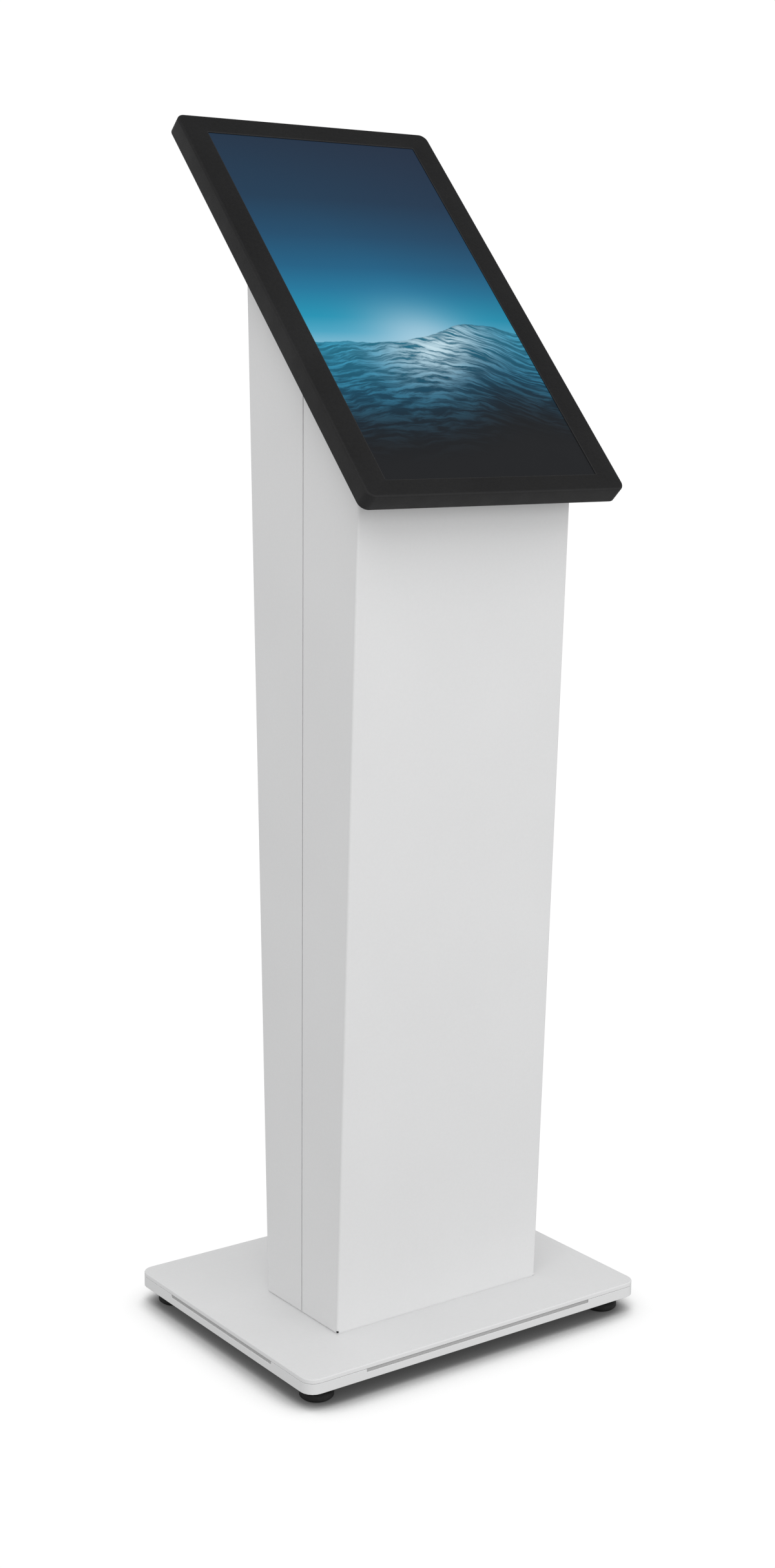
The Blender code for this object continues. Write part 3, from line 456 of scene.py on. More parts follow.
def lit_picture():
    """The screen behind matt glass: a calm evening sea under a clear sky, worked out from the place on it."""
    look = Look("lit_picture", grey(0.002), roughness=0.22, specular=0.11)
    across = look.math("DIVIDE", look.node("SeparateXYZ", {0: look.place}, "X"), LIT_WIDTH)
    up = look.math("DIVIDE", look.node("SeparateXYZ", {0: look.place}, "Z"), LIT_HEIGHT)

    def hill(value, middle, width):
        """A smooth hump of height 1 about middle."""
        off = look.math("DIVIDE", look.math("SUBTRACT", value, middle), width)
        return look.math("EXPONENT", look.times(off, off, -1.0))

    def seen(*stops):
        return [(position, on_screen(*color)) for position, *color in stops]

    # The line where the water meets the sky: low on the left, with a long swell on the right
    swell = look.times(hill(across, SWELL_MIDDLE, 0.25), SWELL_HEIGHT)
    chop = look.noise(1.0, 5.0, 0.55, where=look.stretched((26.0, 1.0, 4.0)))
    chop = look.times(look.math("SUBTRACT", chop, 0.5), 0.022)
    depth = look.math("SUBTRACT", look.plus(swell, chop, HORIZON), up)

    # Sky: brightest low down, dusk towards the upper right, and a glow over the water
    tones = seen(
        (0.0, 128, 188, 212),
        (0.06, 78, 166, 196),
        (0.13, 43, 148, 180),
        (0.26, 42, 120, 156),
        (0.365, 41, 99, 134),
        (0.52, 41, 80, 110),
        (0.70, 41, 65, 88),
        (1.0, 41, 57, 76),
    )
    sky = look.ramp(look.span(up, -0.13, 0.5), tones)
    dusk = look.span(look.plus(across, look.times(up, 1.2)), 0.1, 1.1)
    sky = look.mix(look.times(dusk, 0.35), sky, on_screen(44, 47, 63))
    glow = look.times(hill(across, 0.02, 0.21), hill(up, -0.115, 0.082))
    sky = look.mix(look.times(glow, 0.66), sky, on_screen(186, 216, 232))

    # Water: ripples that grow towards the viewer, bright where they face the glow
    bend = look.noise(1.0, 3.0, 0.5, where=look.stretched((9.0, 1.0, 14.0)))
    tilt = look.times(across, hill(across, 0.3, 0.35), -0.30)
    row = look.plus(depth, tilt, look.times(bend, 0.07))
    rows = look.times(look.math("POWER", look.math("ABSOLUTE", row), 0.8), 46.0)
    where = look.node("CombineXYZ", {"X": look.times(across, 4.0), "Y": rows})
    ripple = look.noise(1.6, 6.0, 0.62, 0.5, where=where)
    facing = look.span(ripple, 0.42, 0.68, smooth=True)
    tones = seen(
        (0.0, 56, 152, 184),
        (0.22, 50, 132, 164),
        (0.42, 44, 98, 126),
        (0.62, 42, 68, 86),
        (0.85, 40, 47, 54),
        (1.0, 40, 42, 45),
    )
    water = look.ramp(look.span(depth, 0.0, 0.34), tones)
    shade = look.span(facing, 0.0, 1.0, 0.50, 1.08)
    water = look.mix(1.0, water, look.greys(shade, (0.0, 0.0), (1.0, 1.0)), "MULTIPLY")
    far = look.times(hill(depth, 0.10, 0.12), facing, 0.24)
    water = look.mix(far, water, on_screen(72, 164, 196))
    bright = look.span(ripple, 0.36, 0.62, smooth=True)
    shine = look.times(hill(depth, 0.03, 0.075), hill(across, 0.06, 0.23), bright, 0.9)
    water = look.mix(shine, water, on_screen(206, 230, 239))
    water = look.mix(look.span(depth, 0.16, 0.34), water, on_screen(40, 41, 43))
    rim = look.times(hill(depth, 0.0, 0.005), look.span(across, -0.1, 0.3, 0.1, 0.6))
    water = look.mix(rim, water, on_screen(44, 96, 118))

    picture = look.mix(look.span(depth, -0.0012, 0.0012), sky, water)
    inside_x = look.span(look.math("ABSOLUTE", across), 0.5, 0.4995)
    inside_z = look.span(look.math("ABSOLUTE", up), 0.5, 0.4997)
    look.set("Emission Color", look.mix(look.times(inside_x, inside_z), grey(0.0), picture))
    look.set("Emission Strength", 1.0)
    smear = look.noise(28.0, 4.0, 0.6)
    look.set("Roughness", look.span(smear, 0.35, 0.75, 0.17, 0.27))
    return look


def glass_edge():
    """Plain panel glass."""
    look = Look("panel_glass", roughness=0.1, specular=0.5)
    look.set("Base Color", look.ramp(look.noise(40.0), [(0.3, grey(0.02)), (0.7, (0.02, 0.03, 0.035, 1))]))
    look.set("Roughness", look.span(look.noise(90.0), 0.3, 0.7, 0.06, 0.16))
    return look


def foam_painted_shade_grey():
    """Closed-cell foam strip with fine open cells on its cut face. Its grey, darker than the tray's paint, is
    painted shade for the slots it sits in.
    """
    look = Look("foam_painted_shade_grey", roughness=0.85, specular=0.2)
    open_cells = look.cells(2600.0)
    look.set("Base Color", look.greys(open_cells, (0.05, 0.30), (0.45, 0.46)))
    look.set("Normal", look.bump(open_cells, 0.00008))
    return look


def marking_ink():
    """White printed and raised marks, slightly worn."""
    look = Look("marking_ink", roughness=0.55, specular=0.3)
    wear = look.noise(1800.0, 3.0)
    look.set("Base Color", look.greys(wear, (0.3, 0.55), (0.6, 0.75)))
    look.set("Normal", look.bump(wear, 0.00002))
    return look


def lamp(name, color):
    """A small lit indicator."""
    look = Look(name, color, roughness=0.25)
    look.set("Emission Color", color)
    look.set("Emission Strength", 1.6)
    look.set("Normal", look.bump(look.noise(900.0), 0.00001))
    return look


LOOKS = {
    "white_paint": white_paint(),
    "black_paint": black_paint(),
    "zinc_steel": zinc_steel(),
    "black_plastic": moulded_plastic(),
    "black_rubber": soft_rubber(),
    "circuit_board": solder_mask(),
    "touch_glass": glass_edge(),
}
PICTURE = lit_picture()
SHEATH = cable_sheath()
STEEL = bright_metal("turned_steel", (0.62, 0.62, 0.61), 0.28)
BLACK_STEEL = bright_metal("blackened_steel", (0.035, 0.035, 0.037), 0.38)
BRASS = bright_metal("nickel_brass", (0.70, 0.66, 0.56), 0.24)
GREEN_LAMP = lamp("green_lamp", (0.05, 0.75, 0.16, 1))
MARKING = marking_ink()
FOAM_PAINTED_SHADE = foam_painted_shade_grey()


# ---- shapes


def loft(rings, ring_of_rings=False, bm=None):
    """Skins equal rings of points. The ends are capped, or joined to each other for a ring of rings."""
    bm = bm or bmesh.new()
    rows = [[bm.verts.new(point) for point in ring] for ring in rings]
    count = len(rows[0])
    pairs = list(zip(rows, rows[1:]))
    if ring_of_rings:
        pairs.append((rows[-1], rows[0]))
    for a, b in pairs:
        for i in range(count):
            j = (i + 1) % count
            bm.faces.new((a[i], a[j], b[j], b[i]))
    if not ring_of_rings:
        bm.faces.new(reversed(rows[0]))
        bm.faces.new(rows[-1])
    return bm


def arc(centre, radius, start, end, steps):
    points = []
    for i in range(steps + 1):
        angle = math.radians(start + (end - start) * i / steps)
        points.append((centre[0] + radius * math.cos(angle), centre[1] + radius * math.sin(angle)))
    return points


def circle(radius, count, centre=(0.0, 0.0)):
    return arc(centre, radius, 0, 360 - 360 / count, count - 1)


def quarter(steps):
    """The sine and cosine at equal steps through a quarter turn."""
    angles = [math.radians(90 * i / steps) for i in range(steps + 1)]
    return [(math.sin(angle), math.cos(angle)) for angle in angles]


def rounded_outline(width, height, radius, steps=6):
    x, y = width / 2 - radius, height / 2 - radius
    points = []
    for turn, centre in enumerate(((x, y), (-x, y), (-x, -y), (x, -y))):
        points += arc(centre, radius, 90 * turn, 90 * turn + 90, steps)
    return points


def flat_ring(outline, z, x=0.0, y=0.0):
    return [(a + x, b + y, z) for a, b in outline]


def upright_ring(outline, y, z=0.0, x=0.0):
    return [(a + x, y, b + z) for a, b in outline]


def side_ring(outline, x, y, z):
    return [(x, a + y, b + z) for a, b in outline]


def turned(profile, centre=(0.0, 0.0), axis="z", segments=48, hollow=False, bm=None):
    """Turns (radius, height) points about an axis through centre."""
    make_ring = upright_ring if axis == "y" else flat_ring
    rings = [make_ring(circle(radius, segments, centre), height) for radius, height in profile]
    return loft(rings, hollow, bm)


def soften(points, reach, steps=3):
    """Rounds the corners of a row of points, from reach before each to reach after it."""
    points = [Vector(point) for point in points]
    made = [tuple(points[0])]
    for before, corner, after in zip(points, points[1:], points[2:]):
        cut = min(reach, (before - corner).length * 0.49, (after - corner).length * 0.49)
        start = corner + (before - corner).normalized() * cut
        end = corner + (after - corner).normalized() * cut
        for i in range(steps + 1):
            t = i / steps
            made.append(tuple(start * (1 - t) ** 2 + corner * 2 * t * (1 - t) + end * t**2))
    made.append(tuple(points[-1]))
    return made


def hexagon(across_flats, count=36):
    """A hexagon's outline with count points."""
    points = []
    for i in range(count):
        angle = 2 * math.pi * i / count
        off = (angle + math.pi / 6) % (math.pi / 3) - math.pi / 6
        reach = across_flats / 2 / math.cos(off)
        points.append((reach * math.cos(angle), reach * math.sin(angle)))
    return points


def lobed(radius, depth, lobes, count):
    """A wavy circle, as a driver's socket has."""
    points = []
    for i in range(count):
        angle = 2 * math.pi * i / count
        reach = radius * (1 + depth * math.cos(lobes * angle))
        points.append((reach * math.cos(angle), reach * math.sin(angle)))
    return points


def soft_box(low, high, radius, steps=3, bm=None):
    """A box with all its edges rounded."""
    made = bmesh.new()
    bmesh.ops.create_cube(made, size=1.0)
    size = Vector(high) - Vector(low)
    middle = (Vector(high) + Vector(low)) / 2
    for vert in made.verts:
        vert.co = Vector([vert.co[i] * size[i] + middle[i] for i in range(3)])
    bmesh.ops.bevel(made, geom=made.edges[:], offset=radius, segments=steps, profile=0.5, affect="EDGES")
    if bm is None:
        return made
    mesh = bpy.data.meshes.new("part")
    made.to_mesh(mesh)
    made.free()
    bm.from_mesh(mesh)
    bpy.data.meshes.remove(mesh)
    return bm


def head(x, y, z, shoulder, socket, lobe_depth, lobes, bm):
    """A screw's head, out along y: (radius, rise) steps up its round shoulder, then down its socket."""
    count = 24
    rings = [upright_ring(circle(radius, count), y + rise, z, x) for radius, rise in shoulder]
    for radius, rise in socket:
        rings.append(upright_ring(lobed(radius, lobe_depth, lobes, count), y + rise, z, x))
    return loft(rings, bm=bm)


def domed_head(x, y, z, radius, height, bm):
    """A domed head with a six-lobe socket."""
    shoulder = ((1.0, -0.05), (1.0, 0.35), (0.93, 0.5975), (0.76, 0.80), (0.58, 1.0))
    shoulder = [(radius * share, height * rise) for share, rise in shoulder]
    socket = ((1.06, 1.0), (1.0, 0.94), (0.96, 0.25), (0.3, 0.22))
    socket = [(radius * 0.42 * share, height * rise) for share, rise in socket]
    head(x, y, z, shoulder, socket, 0.14, 6, bm)


def flush_head(x, y, z, radius, bm):
    """A countersunk head that lies flush, with a shallow rim groove and a cross-like socket."""
    shoulder = ((1.0, -0.0002), (1.0, 0.00012), (0.94, 0.00022), (0.6, 0.00026))
    socket = ((0.50, 0.00026), (0.46, 0.00018), (0.36, -0.0006), (0.10, -0.0007))
    steps = [[(radius * share, rise) for share, rise in part] for part in (shoulder, socket)]
    head(x, y, z, *steps, 0.28, 4, bm)


def piece(name, bm, slot, body="kiosk", place=WORLD, look=None, angle=35):
    """A visible piece built in a local frame. It rides on a body and takes its finish from a slot."""
    look = look or LOOKS[slot]
    bmesh.ops.recalc_face_normals(bm, faces=bm.faces)
    keeps_place = look is PICTURE  # the picture is worked out in the display's frame
    if not keeps_place:
        bm.transform(place)
    mesh = bpy.data.meshes.new(name)
    bm.to_mesh(mesh)
    bm.free()
    mesh.shade_smooth()
    mesh.set_sharp_from_angle(angle=math.radians(angle))
    obj = bpy.data.objects.new(name, mesh)
    mesh.materials.append(look.material)
    bpy.context.scene.collection.objects.link(obj)
    if keeps_place:
        obj.matrix_world = place
    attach(obj, body)
    return obj


# ---- CAD nodes that stay


def clean_group():
    """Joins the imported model's loose triangles and shades them smooth, except across folds."""
    group = bpy.data.node_groups.new("clean_surface", "GeometryNodeTree")
    group.interface.new_socket("Geometry", in_out="INPUT", socket_type="NodeSocketGeometry")
    group.interface.new_socket("Geometry", in_out="OUTPUT", socket_type="NodeSocketGeometry")
    nodes, links = group.nodes, group.links
    start = nodes.new("NodeGroupInput")
    end = nodes.new("NodeGroupOutput")
    merge = nodes.new("GeometryNodeMergeByDistance")
    merge.inputs["Distance"].default_value = 0.000002
    forget = nodes.new("GeometryNodeRemoveAttribute")
    forget.inputs["Name"].default_value = "custom_normal"
    smooth = nodes.new("GeometryNodeSetShadeSmooth")
    smooth.domain = "FACE"
    sharp = nodes.new("GeometryNodeSetShadeSmooth")
    sharp.domain = "EDGE"
    sharp.inputs["Shade Smooth"].default_value = False
    fold = nodes.new("GeometryNodeInputMeshEdgeAngle")
    more = nodes.new("FunctionNodeCompare")
    more.operation = "GREATER_THAN"
    more.inputs["B"].default_value = math.radians(31)
    links.new(fold.outputs["Unsigned Angle"], more.inputs["A"])
    links.new(more.outputs[0], sharp.inputs["Selection"])
    for a, b in ((start, merge), (merge, forget), (forget, smooth), (smooth, sharp), (sharp, end)):
        links.new(a.outputs[0], b.inputs[0])
    return group


CLEAN = clean_group()
EDGE_BREAK = {"white_paint": 0.00035, "black_paint": 0.0003, "zinc_steel": 0.0003, "black_plastic": 0.0003}
NO_BREAK = (
    "foot_pad",
    "foot_stud",
    "mount_screw",
    "cable_grommet",
    "lock_core",
    "lock_barrel",
    "hinge_lower_pin",
)


def refine(obj, width):
    """Cleans a CAD node's surface and breaks its sharp edges by width."""
    clean = obj.modifiers.new("clean", "NODES")
    clean.node_group = CLEAN
    if not width:
        return
    planar = obj.modifiers.new("planar", "DECIMATE")
    planar.decimate_type = "DISSOLVE"
    planar.angle_limit = math.radians(0.5)
    edge = obj.modifiers.new("edge", "BEVEL")
    edge.width = width
    edge.segments = 2
    edge.limit_method = "ANGLE"
    edge.angle_limit = math.radians(40)
    even = obj.modifiers.new("even", "WEIGHTED_NORMAL")
    even.keep_sharp = True
    even.weight = 100


def finish_nodes():
    """Gives every CAD node its finish, and its edges a small rounding."""
    for part in frame["record"]["subparts"]:
        name, slot = part["node"], part["material_slot"]
        obj = frame["nodes"][name]
        look = SHEATH if name.endswith("_lead") else LOOKS[slot]
        if name.startswith("lock_") or name.endswith("_pin") or name.startswith("mount_screw"):
            look = STEEL
        for material_slot in obj.material_slots:
            material_slot.material = look.material
        refine(obj, 0.0 if name.startswith(NO_BREAK) else EDGE_BREAK.get(slot, 0.0))


# ---- display


def housing_ring(inset, y):
    outline = rounded_outline(HOUSING.x - 2 * inset, HOUSING.z - 2 * inset, HOUSING_CORNER - inset, 12)
    return upright_ring(outline, y, LIFT)


def window_ring(margin, y):
    size = (LIT_WIDTH + 2 * margin, LIT_HEIGHT + 2 * margin)
    return upright_ring(rounded_outline(*size, WINDOW_CORNER + margin, 12), y)


def make_bezel():
    """The display's frame, with fully rounded edges, in place of the faceted CAD one."""
    rings = [window_ring(0.0, WINDOW_LIP)]
    for sine, cosine in quarter(3):
        rings.append(window_ring(WINDOW_CHAMFER * (1 - cosine), WINDOW_CHAMFER * (1 - sine)))
    for sine, cosine in quarter(8):
        rings.append(housing_ring(HOUSING_EDGE * (1 - sine), HOUSING_EDGE * (1 - cosine)))
    for sine, cosine in quarter(3):
        depth = HOUSING.y - HOUSING_REAR_EDGE * (1 - sine)
        rings.append(housing_ring(HOUSING_REAR_EDGE * (1 - cosine), depth))
    for depth in (HOUSING.y, WINDOW_LIP):
        rings.append(housing_ring(HOUSING_WALL, depth))
    bezel = piece("bezel", loft(rings, True), "black_paint", place=DISPLAY)
    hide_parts("display_bezel")


def make_glass():
    """The front glass, with ground edges. Its front shows the lit picture."""
    low, high = corners("touch_glass", DISPLAY)
    size = high - low
    steps = (
        (GLASS_GROUND, GLASS_BACK),
        (0.0, GLASS_BACK - GLASS_GROUND),
        (0.0, GLASS_FRONT + GLASS_GROUND),
        (GLASS_GROUND, GLASS_FRONT),
    )
    rings = []
    for inset, y in steps:
        outline = rounded_outline(size.x - 2 * inset, size.z - 2 * inset, GLASS_CORNER, 6)
        rings.append(upright_ring(outline, y))
    glass = piece("screen_glass", loft(rings), "touch_glass", place=DISPLAY, look=PICTURE)
    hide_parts("touch_glass")


def make_cover_screws():
    heads = bmesh.new()
    for z in BACK_SCREW_HEIGHTS:
        for x in (-BACK_SCREW_X, BACK_SCREW_X):
            flush_head(x, HOUSING.y, z, 0.0030, heads)
    piece("display_cover_screws", heads, "black_paint", place=DISPLAY, look=BLACK_STEEL)


def make_key_surround():
    """A raised frame round the keys, with a status lamp under it."""
    low, high = corners("key_power", DISPLAY)
    top = corners("key_up", DISPLAY)[1]
    x, z = (low.x + high.x) / 2, (low.z + top.z) / 2
    width, height = high.x - low.x + 0.0030, top.z - low.z + 0.0040
    section = [(0.0, -GAP), (0.0, 0.0004), (0.0003, 0.0006)]
    section += [(0.0010, 0.0006), (0.0013, 0.0004), (0.0013, -GAP)]
    rings = []
    for grow, out in section:
        outline = rounded_outline(width + 2 * grow, height + 2 * grow, 0.0015 + grow, 5)
        rings.append(upright_ring(outline, HOUSING.y + out, z, x))
    piece("key_surround", loft(rings, True), "black_plastic", place=DISPLAY)
    dome = [(0.0016, -GAP), (0.0016, 0.0003), (0.0013, 0.0006), (0.0005, 0.0008)]
    dome = [(radius, HOUSING.y + out) for radius, out in dome]
    lens = turned(soften(dome, 0.0003), (x, low.z - LAMP_DROP), "y", 24)
    piece("status_lamp", lens, "touch_glass", place=DISPLAY, look=GREEN_LAMP)


def make_display():
    make_bezel()
    make_glass()
    make_cover_screws()
    make_key_surround()


# ---- column and base


def make_seam_strips():
    """A black rubber strip in each side seam, just below the surface. Its black is painted shade that darkens the
    seam line.
    """
    low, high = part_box("front_cover")[1].y + CLEAR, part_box("rear_cover")[0].y - CLEAR
    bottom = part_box("front_cover")[0].z + 2 * CLEAR
    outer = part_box("rear_cover")[1].x - SEAM_DEPTH
    inner = outer - SEAM_STRIP
    for side, sign in (("left", -1), ("right", 1)):
        outline = [(sign * inner, low), (sign * outer, low), (sign * outer, high), (sign * inner, high)]
        ends = [[(x, y, bottom) for x, y in outline]]
        ends.append([(x, y, height_under_display(y, HOUSING.y + 0.0010)) for x, y in outline])
        strip = loft(ends)
        outer_edges = [e for e in strip.edges if all(abs(v.co.x - sign * outer) < 1e-6 for v in e.verts)]
        bmesh.ops.bevel(strip, geom=outer_edges, offset=0.0002, segments=2, profile=0.5, affect="EDGES")
        piece(f"seam_strip_{side}", strip, "black_rubber")


def make_foot_seal():
    """A thin light seal in the gap between the column and the base, set back a little."""
    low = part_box("base_top_plate")[1].z + CLEAR / 2
    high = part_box("front_cover")[0].z - CLEAR / 2
    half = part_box("rear_cover")[1].x - FOOT_SEAL_SIDE
    y0 = min(bottom_edge("front_cover")) + FOOT_SEAL_FRONT
    y1 = max(bottom_edge("rear_cover")) - FOOT_SEAL_SIDE
    rings = []
    for inset, z in ((0.0, low), (0.0, high), (FOOT_SEAL, high), (FOOT_SEAL, low)):
        outline = rounded_outline(2 * (half - inset), y1 - y0 - 2 * inset, 0.0022 - inset, 5)
        rings.append(flat_ring(outline, z, y=(y0 + y1) / 2))
    piece("foot_seal", loft(rings, True), "white_paint")


def make_corner_plugs():
    """Fills the bend relief at the foot of each front edge. On the left a black rubber plug is painted shade for
    the dark hole; on the right the plug takes the white paint.
    """
    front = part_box("front_cover")
    y = min(bottom_edge("front_cover")) + 2 * CLEAR
    z = front[0].z + CLEAR
    for side, sign, slot in (("left", -1, "black_rubber"), ("right", 1, "white_paint")):
        outer = sign * (front[1].x - 2 * CLEAR)
        xs = sorted((outer, outer - sign * CORNER_PLUG))
        plug = soft_box((xs[0], y, z), (xs[1], y + CORNER_PLUG, z + CORNER_PLUG), 0.0003, 2)
        piece(f"corner_plug_{side}", plug, slot)


def make_slot_strips():
    """A foam strip that closes each long slot of the tray, a little below the surface. Its grey is painted shade
    for the slot.
    """
    low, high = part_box("base_tray")
    for side, axis, sign, length in SLOTS:
        along = 1 - axis
        start = Vector((0.0, 0.0, high.z - SLOT_HEIGHT + CLEAR))
        end = Vector((0.0, 0.0, high.z - SLOT_TOP))
        face = (low if sign < 0 else high)[axis] - sign * SLOT_DEPTH
        start[axis], end[axis] = sorted((face, face - sign * SLOT_STRIP))
        middle, half = (low[along] + high[along]) / 2, length / 2 - CLEAR
        start[along], end[along] = middle - half, middle + half
        piece(f"slot_strip_{side}", soft_box(start, end, 0.0002, 2), "white_paint", look=FOAM_PAINTED_SHADE)


def make_rear_screws():
    """Countersunk screws down both edges of the rear cover."""
    heads = bmesh.new()
    for x in (-REAR_SCREW_X, REAR_SCREW_X):
        for z in REAR_SCREW_HEIGHTS:
            flush_head(x, 0.0, z, 0.0040, heads)
    piece("rear_cover_screws", heads, "zinc_steel", place=REAR, look=STEEL)


def make_flange_bolts():
    """Hexagon heads on washers, at the corners of the column's flange."""
    low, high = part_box("column_flange")
    washer = [(0.0085, high.z), (0.0085, high.z + 0.0014), (0.006, high.z + 0.0014)]
    steps = ((0.0128, 0.0013), (0.0130, 0.0018), (0.0130, 0.0058), (0.0122, 0.0065), (0.0060, 0.0065))
    heads = bmesh.new()
    for x in (-BOLT_X, BOLT_X):
        for y in (low.y + BOLT_INSET, high.y - BOLT_INSET):
            turned(soften(washer, 0.0003), (x, y), bm=heads)
            loft([flat_ring(hexagon(size), high.z + rise, x, y) for size, rise in steps], bm=heads)
    piece("flange_bolts", heads, "zinc_steel")


def thread_ring(z, count):
    """The outline of a right-hand thread at a height."""
    points = []
    for i in range(count):
        turn = (z / THREAD_PITCH - i / count) % 1.0
        crest = min(1.0, 1.25 * (1 - abs(2 * turn - 1)))
        reach = THREAD_RADIUS - THREAD_DEPTH * (1 - crest)
        angle = 2 * math.pi * i / count
        points.append((reach * math.cos(angle), reach * math.sin(angle)))
    return points


def make_foot(place):
    """A levelling foot: a moulded pad with a raised neck, and a threaded stud with flats to turn it by."""
    low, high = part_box(f"foot_pad_{place}")
    x, y = (low.x + high.x) / 2, (low.y + high.y) / 2
    radius = (high.x - low.x) / 2
    neck = high.z
    profile = [(0.0125, 0.0008), (0.0138, 0.0), (0.0152, 0.0), (radius, 0.0024), (radius, 0.0064)]
    profile += [(0.0165, 0.0082), (0.0118, 0.0098), (0.0105, 0.0125), (0.0105, neck), (0.0070, neck)]
    profile.append((0.0068, 0.0097))
    pad = turned(soften(profile, 0.0011, 4), (x, y), segments=72)
    pad_piece = piece(f"pad_{place}", pad, "black_rubber", f"foot_{place}")
    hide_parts(f"foot_pad_{place}")

    low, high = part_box(f"foot_stud_{place}")
    count, steps = 36, 6
    flats = ((0.0092, low.z), (0.0106, low.z + 0.0006), (0.0106, neck - 0.0014), (0.0094, neck - 0.0008))
    rings = [flat_ring(hexagon(size, count), z, x, y) for size, z in flats]
    start, end = neck, high.z - 0.0006
    levels = int((end - start) / THREAD_PITCH * steps)
    for level in range(levels + 1):
        z = start + (end - start) * level / levels
        rings.append(flat_ring(thread_ring(z, count), z, x, y))
    rings.append(flat_ring(circle(0.0039, count), high.z, x, y))
    stud = piece(f"stud_{place}_threaded", loft(rings), "zinc_steel", f"stud_{place}", angle=50)
    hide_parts(f"foot_stud_{place}")


def make_column():
    make_seam_strips()
    make_foot_seal()
    make_corner_plugs()
    make_slot_strips()
    make_rear_screws()
    make_flange_bolts()
    for place in FOOT_PLACES:
        make_foot(place)


# ---- service door


def make_hinge_screws():
    for level in ("lower", "upper"):
        bottom = corners(f"hinge_{level}_frame_leaf", REAR)[0].z
        low, high = corners(f"hinge_{level}_pin", REAR)
        pin = (low.x + high.x) / 2
        for part, sign, body in (("frame", -1, "kiosk"), ("door", 1, "door")):
            heads = bmesh.new()
            for out, up in HINGE_SCREWS:
                flush_head(pin + sign * out, GAP + HINGE_LEAF, bottom + up, 0.0030, heads)
            piece(f"hinge_{level}_{part}_screws", heads, "zinc_steel", body, REAR, STEEL)


def make_stiffeners():
    """Hat channels welded up the inside of the door."""
    low, high = corners("service_door", REAR)
    middle = (low.z + high.z) / 2
    inside = low.y - GAP
    sheet, depth = STIFFENER_SHEET, STIFFENER_DEPTH
    outer = [(0.0080, depth), (0.0100, sheet), (0.0175, sheet), (0.0175, 0.0)]
    outer = [(-x, y) for x, y in reversed(outer)] + outer
    inner = [(0.0092, 0.0), (0.0072, depth - sheet), (-0.0072, depth - sheet), (-0.0092, 0.0)]
    outline = soften(outer + inner, 0.0006, 2)
    for side, sign in (("left", -1), ("right", 1)):
        ends = []
        for z in (middle - STIFFENER_REACH, middle + STIFFENER_REACH):
            ends.append([(x + sign * STIFFENER_X, inside - y, z) for x, y in outline])
        piece(f"door_stiffener_{side}", loft(ends), "white_paint", "door", REAR)


def make_mesh(name, body, low_z, high_z):
    """Woven wire behind a row of vents, in a pressed frame."""
    bm = bmesh.new()
    near = -SHEET - GAP
    middle, half = (low_z + high_z) / 2, (high_z - low_z) / 2 + MESH_MARGIN
    rings = []
    for grow, y in ((0.0, near), (0.0, near - MESH_FRAME), (-0.004, near - MESH_FRAME), (-0.004, near)):
        outline = rounded_outline(2 * (MESH_HALF_WIDTH + grow), 2 * (half + grow), 0.004 + grow / 2, 4)
        rings.append(upright_ring(outline, y, middle))
    loft(rings, True, bm)
    reach_x, reach_z = MESH_HALF_WIDTH - 0.002, half - 0.002
    wire = [(MESH_WIRE, 0), (0, MESH_WIRE), (-MESH_WIRE, 0), (0, -MESH_WIRE)]
    count = int(reach_x / MESH_PITCH)
    for i in range(-count, count + 1):
        ends = [flat_ring(wire, middle + end, i * MESH_PITCH, near - 0.0006) for end in (-reach_z, reach_z)]
        loft(ends, bm=bm)
    count = int(reach_z / MESH_PITCH)
    for i in range(-count, count + 1):
        ends = [side_ring(wire, x, near - 0.0010, middle + i * MESH_PITCH) for x in (-reach_x, reach_x)]
        loft(ends, bm=bm)
    piece(name, bm, "zinc_steel", body, REAR, BLACK_STEEL)


def make_frame_trim():
    """Rubber edging pushed over the door frame's inner lip."""
    low, high = corners("door_frame", REAR)
    door_low, door_high = corners("service_door", REAR)
    middle = (door_low.z + door_high.z) / 2
    lip_z = (door_high.z - door_low.z) / 2 - ((door_high.x - door_low.x) / 2 - DOOR_LIP_X)
    section = [(-0.0010, 0.0050), (-0.0010, -0.0006), (0.0030, -0.0006), (0.0030, 0.0050)]
    section += [(0.0022, 0.0050), (0.0022, 0.0002), (-0.0002, 0.0002), (-0.0002, 0.0050)]
    rings = []
    for out, y in section:
        outline = rounded_outline(2 * (DOOR_LIP_X + out), 2 * (lip_z + out), 0.004 + out, 5)
        rings.append(upright_ring(outline, low.y + y, middle))
    piece("door_frame_trim", loft(rings, True), "black_rubber", place=REAR)


def make_cam_screw():
    centre = joint_place("lock_turn", REAR)
    core_end = corners("lock_core", REAR)[0].y
    screw = bmesh.new()
    domed_head(0.0, 0.0, 0.0, 0.0046, 0.0024, screw)
    place = turned_to(REAR, (centre.x, core_end, centre.z), math.pi)
    piece("cam_screw", screw, "zinc_steel", "lock", place, STEEL)


def make_door():
    make_hinge_screws()
    make_stiffeners()
    make_frame_trim()
    make_cam_screw()
    low, high = corners("service_door", REAR)
    near, far = DOOR_VENTS
    make_mesh("door_mesh_lower", "door", low.z + near, low.z + far)
    make_mesh("door_mesh_upper", "door", high.z - far, high.z - near)
    make_mesh("rear_cover_mesh", "kiosk", *REAR_VENTS)


# ---- power and electronics


def make_inlet_blades():
    """Nickel-plated sleeves on the inlet's three blades."""
    low, high = corners("power_inlet", REAR)
    x, z = (low.x + high.x) / 2, (low.z + high.z) / 2
    sleeves = bmesh.new()
    for bx, bz in ((-0.0070, -0.0136), (0.0070, -0.0136), (0.0, -0.0092)):
        low_corner = (x + bx - 0.0011, -0.0158, z + bz - 0.0021)
        high_corner = (x + bx + 0.0011, -0.0008, z + bz + 0.0021)
        soft_box(low_corner, high_corner, 0.0004, 2, sleeves)
    piece("inlet_blades", sleeves, "zinc_steel", place=REAR, look=BRASS)


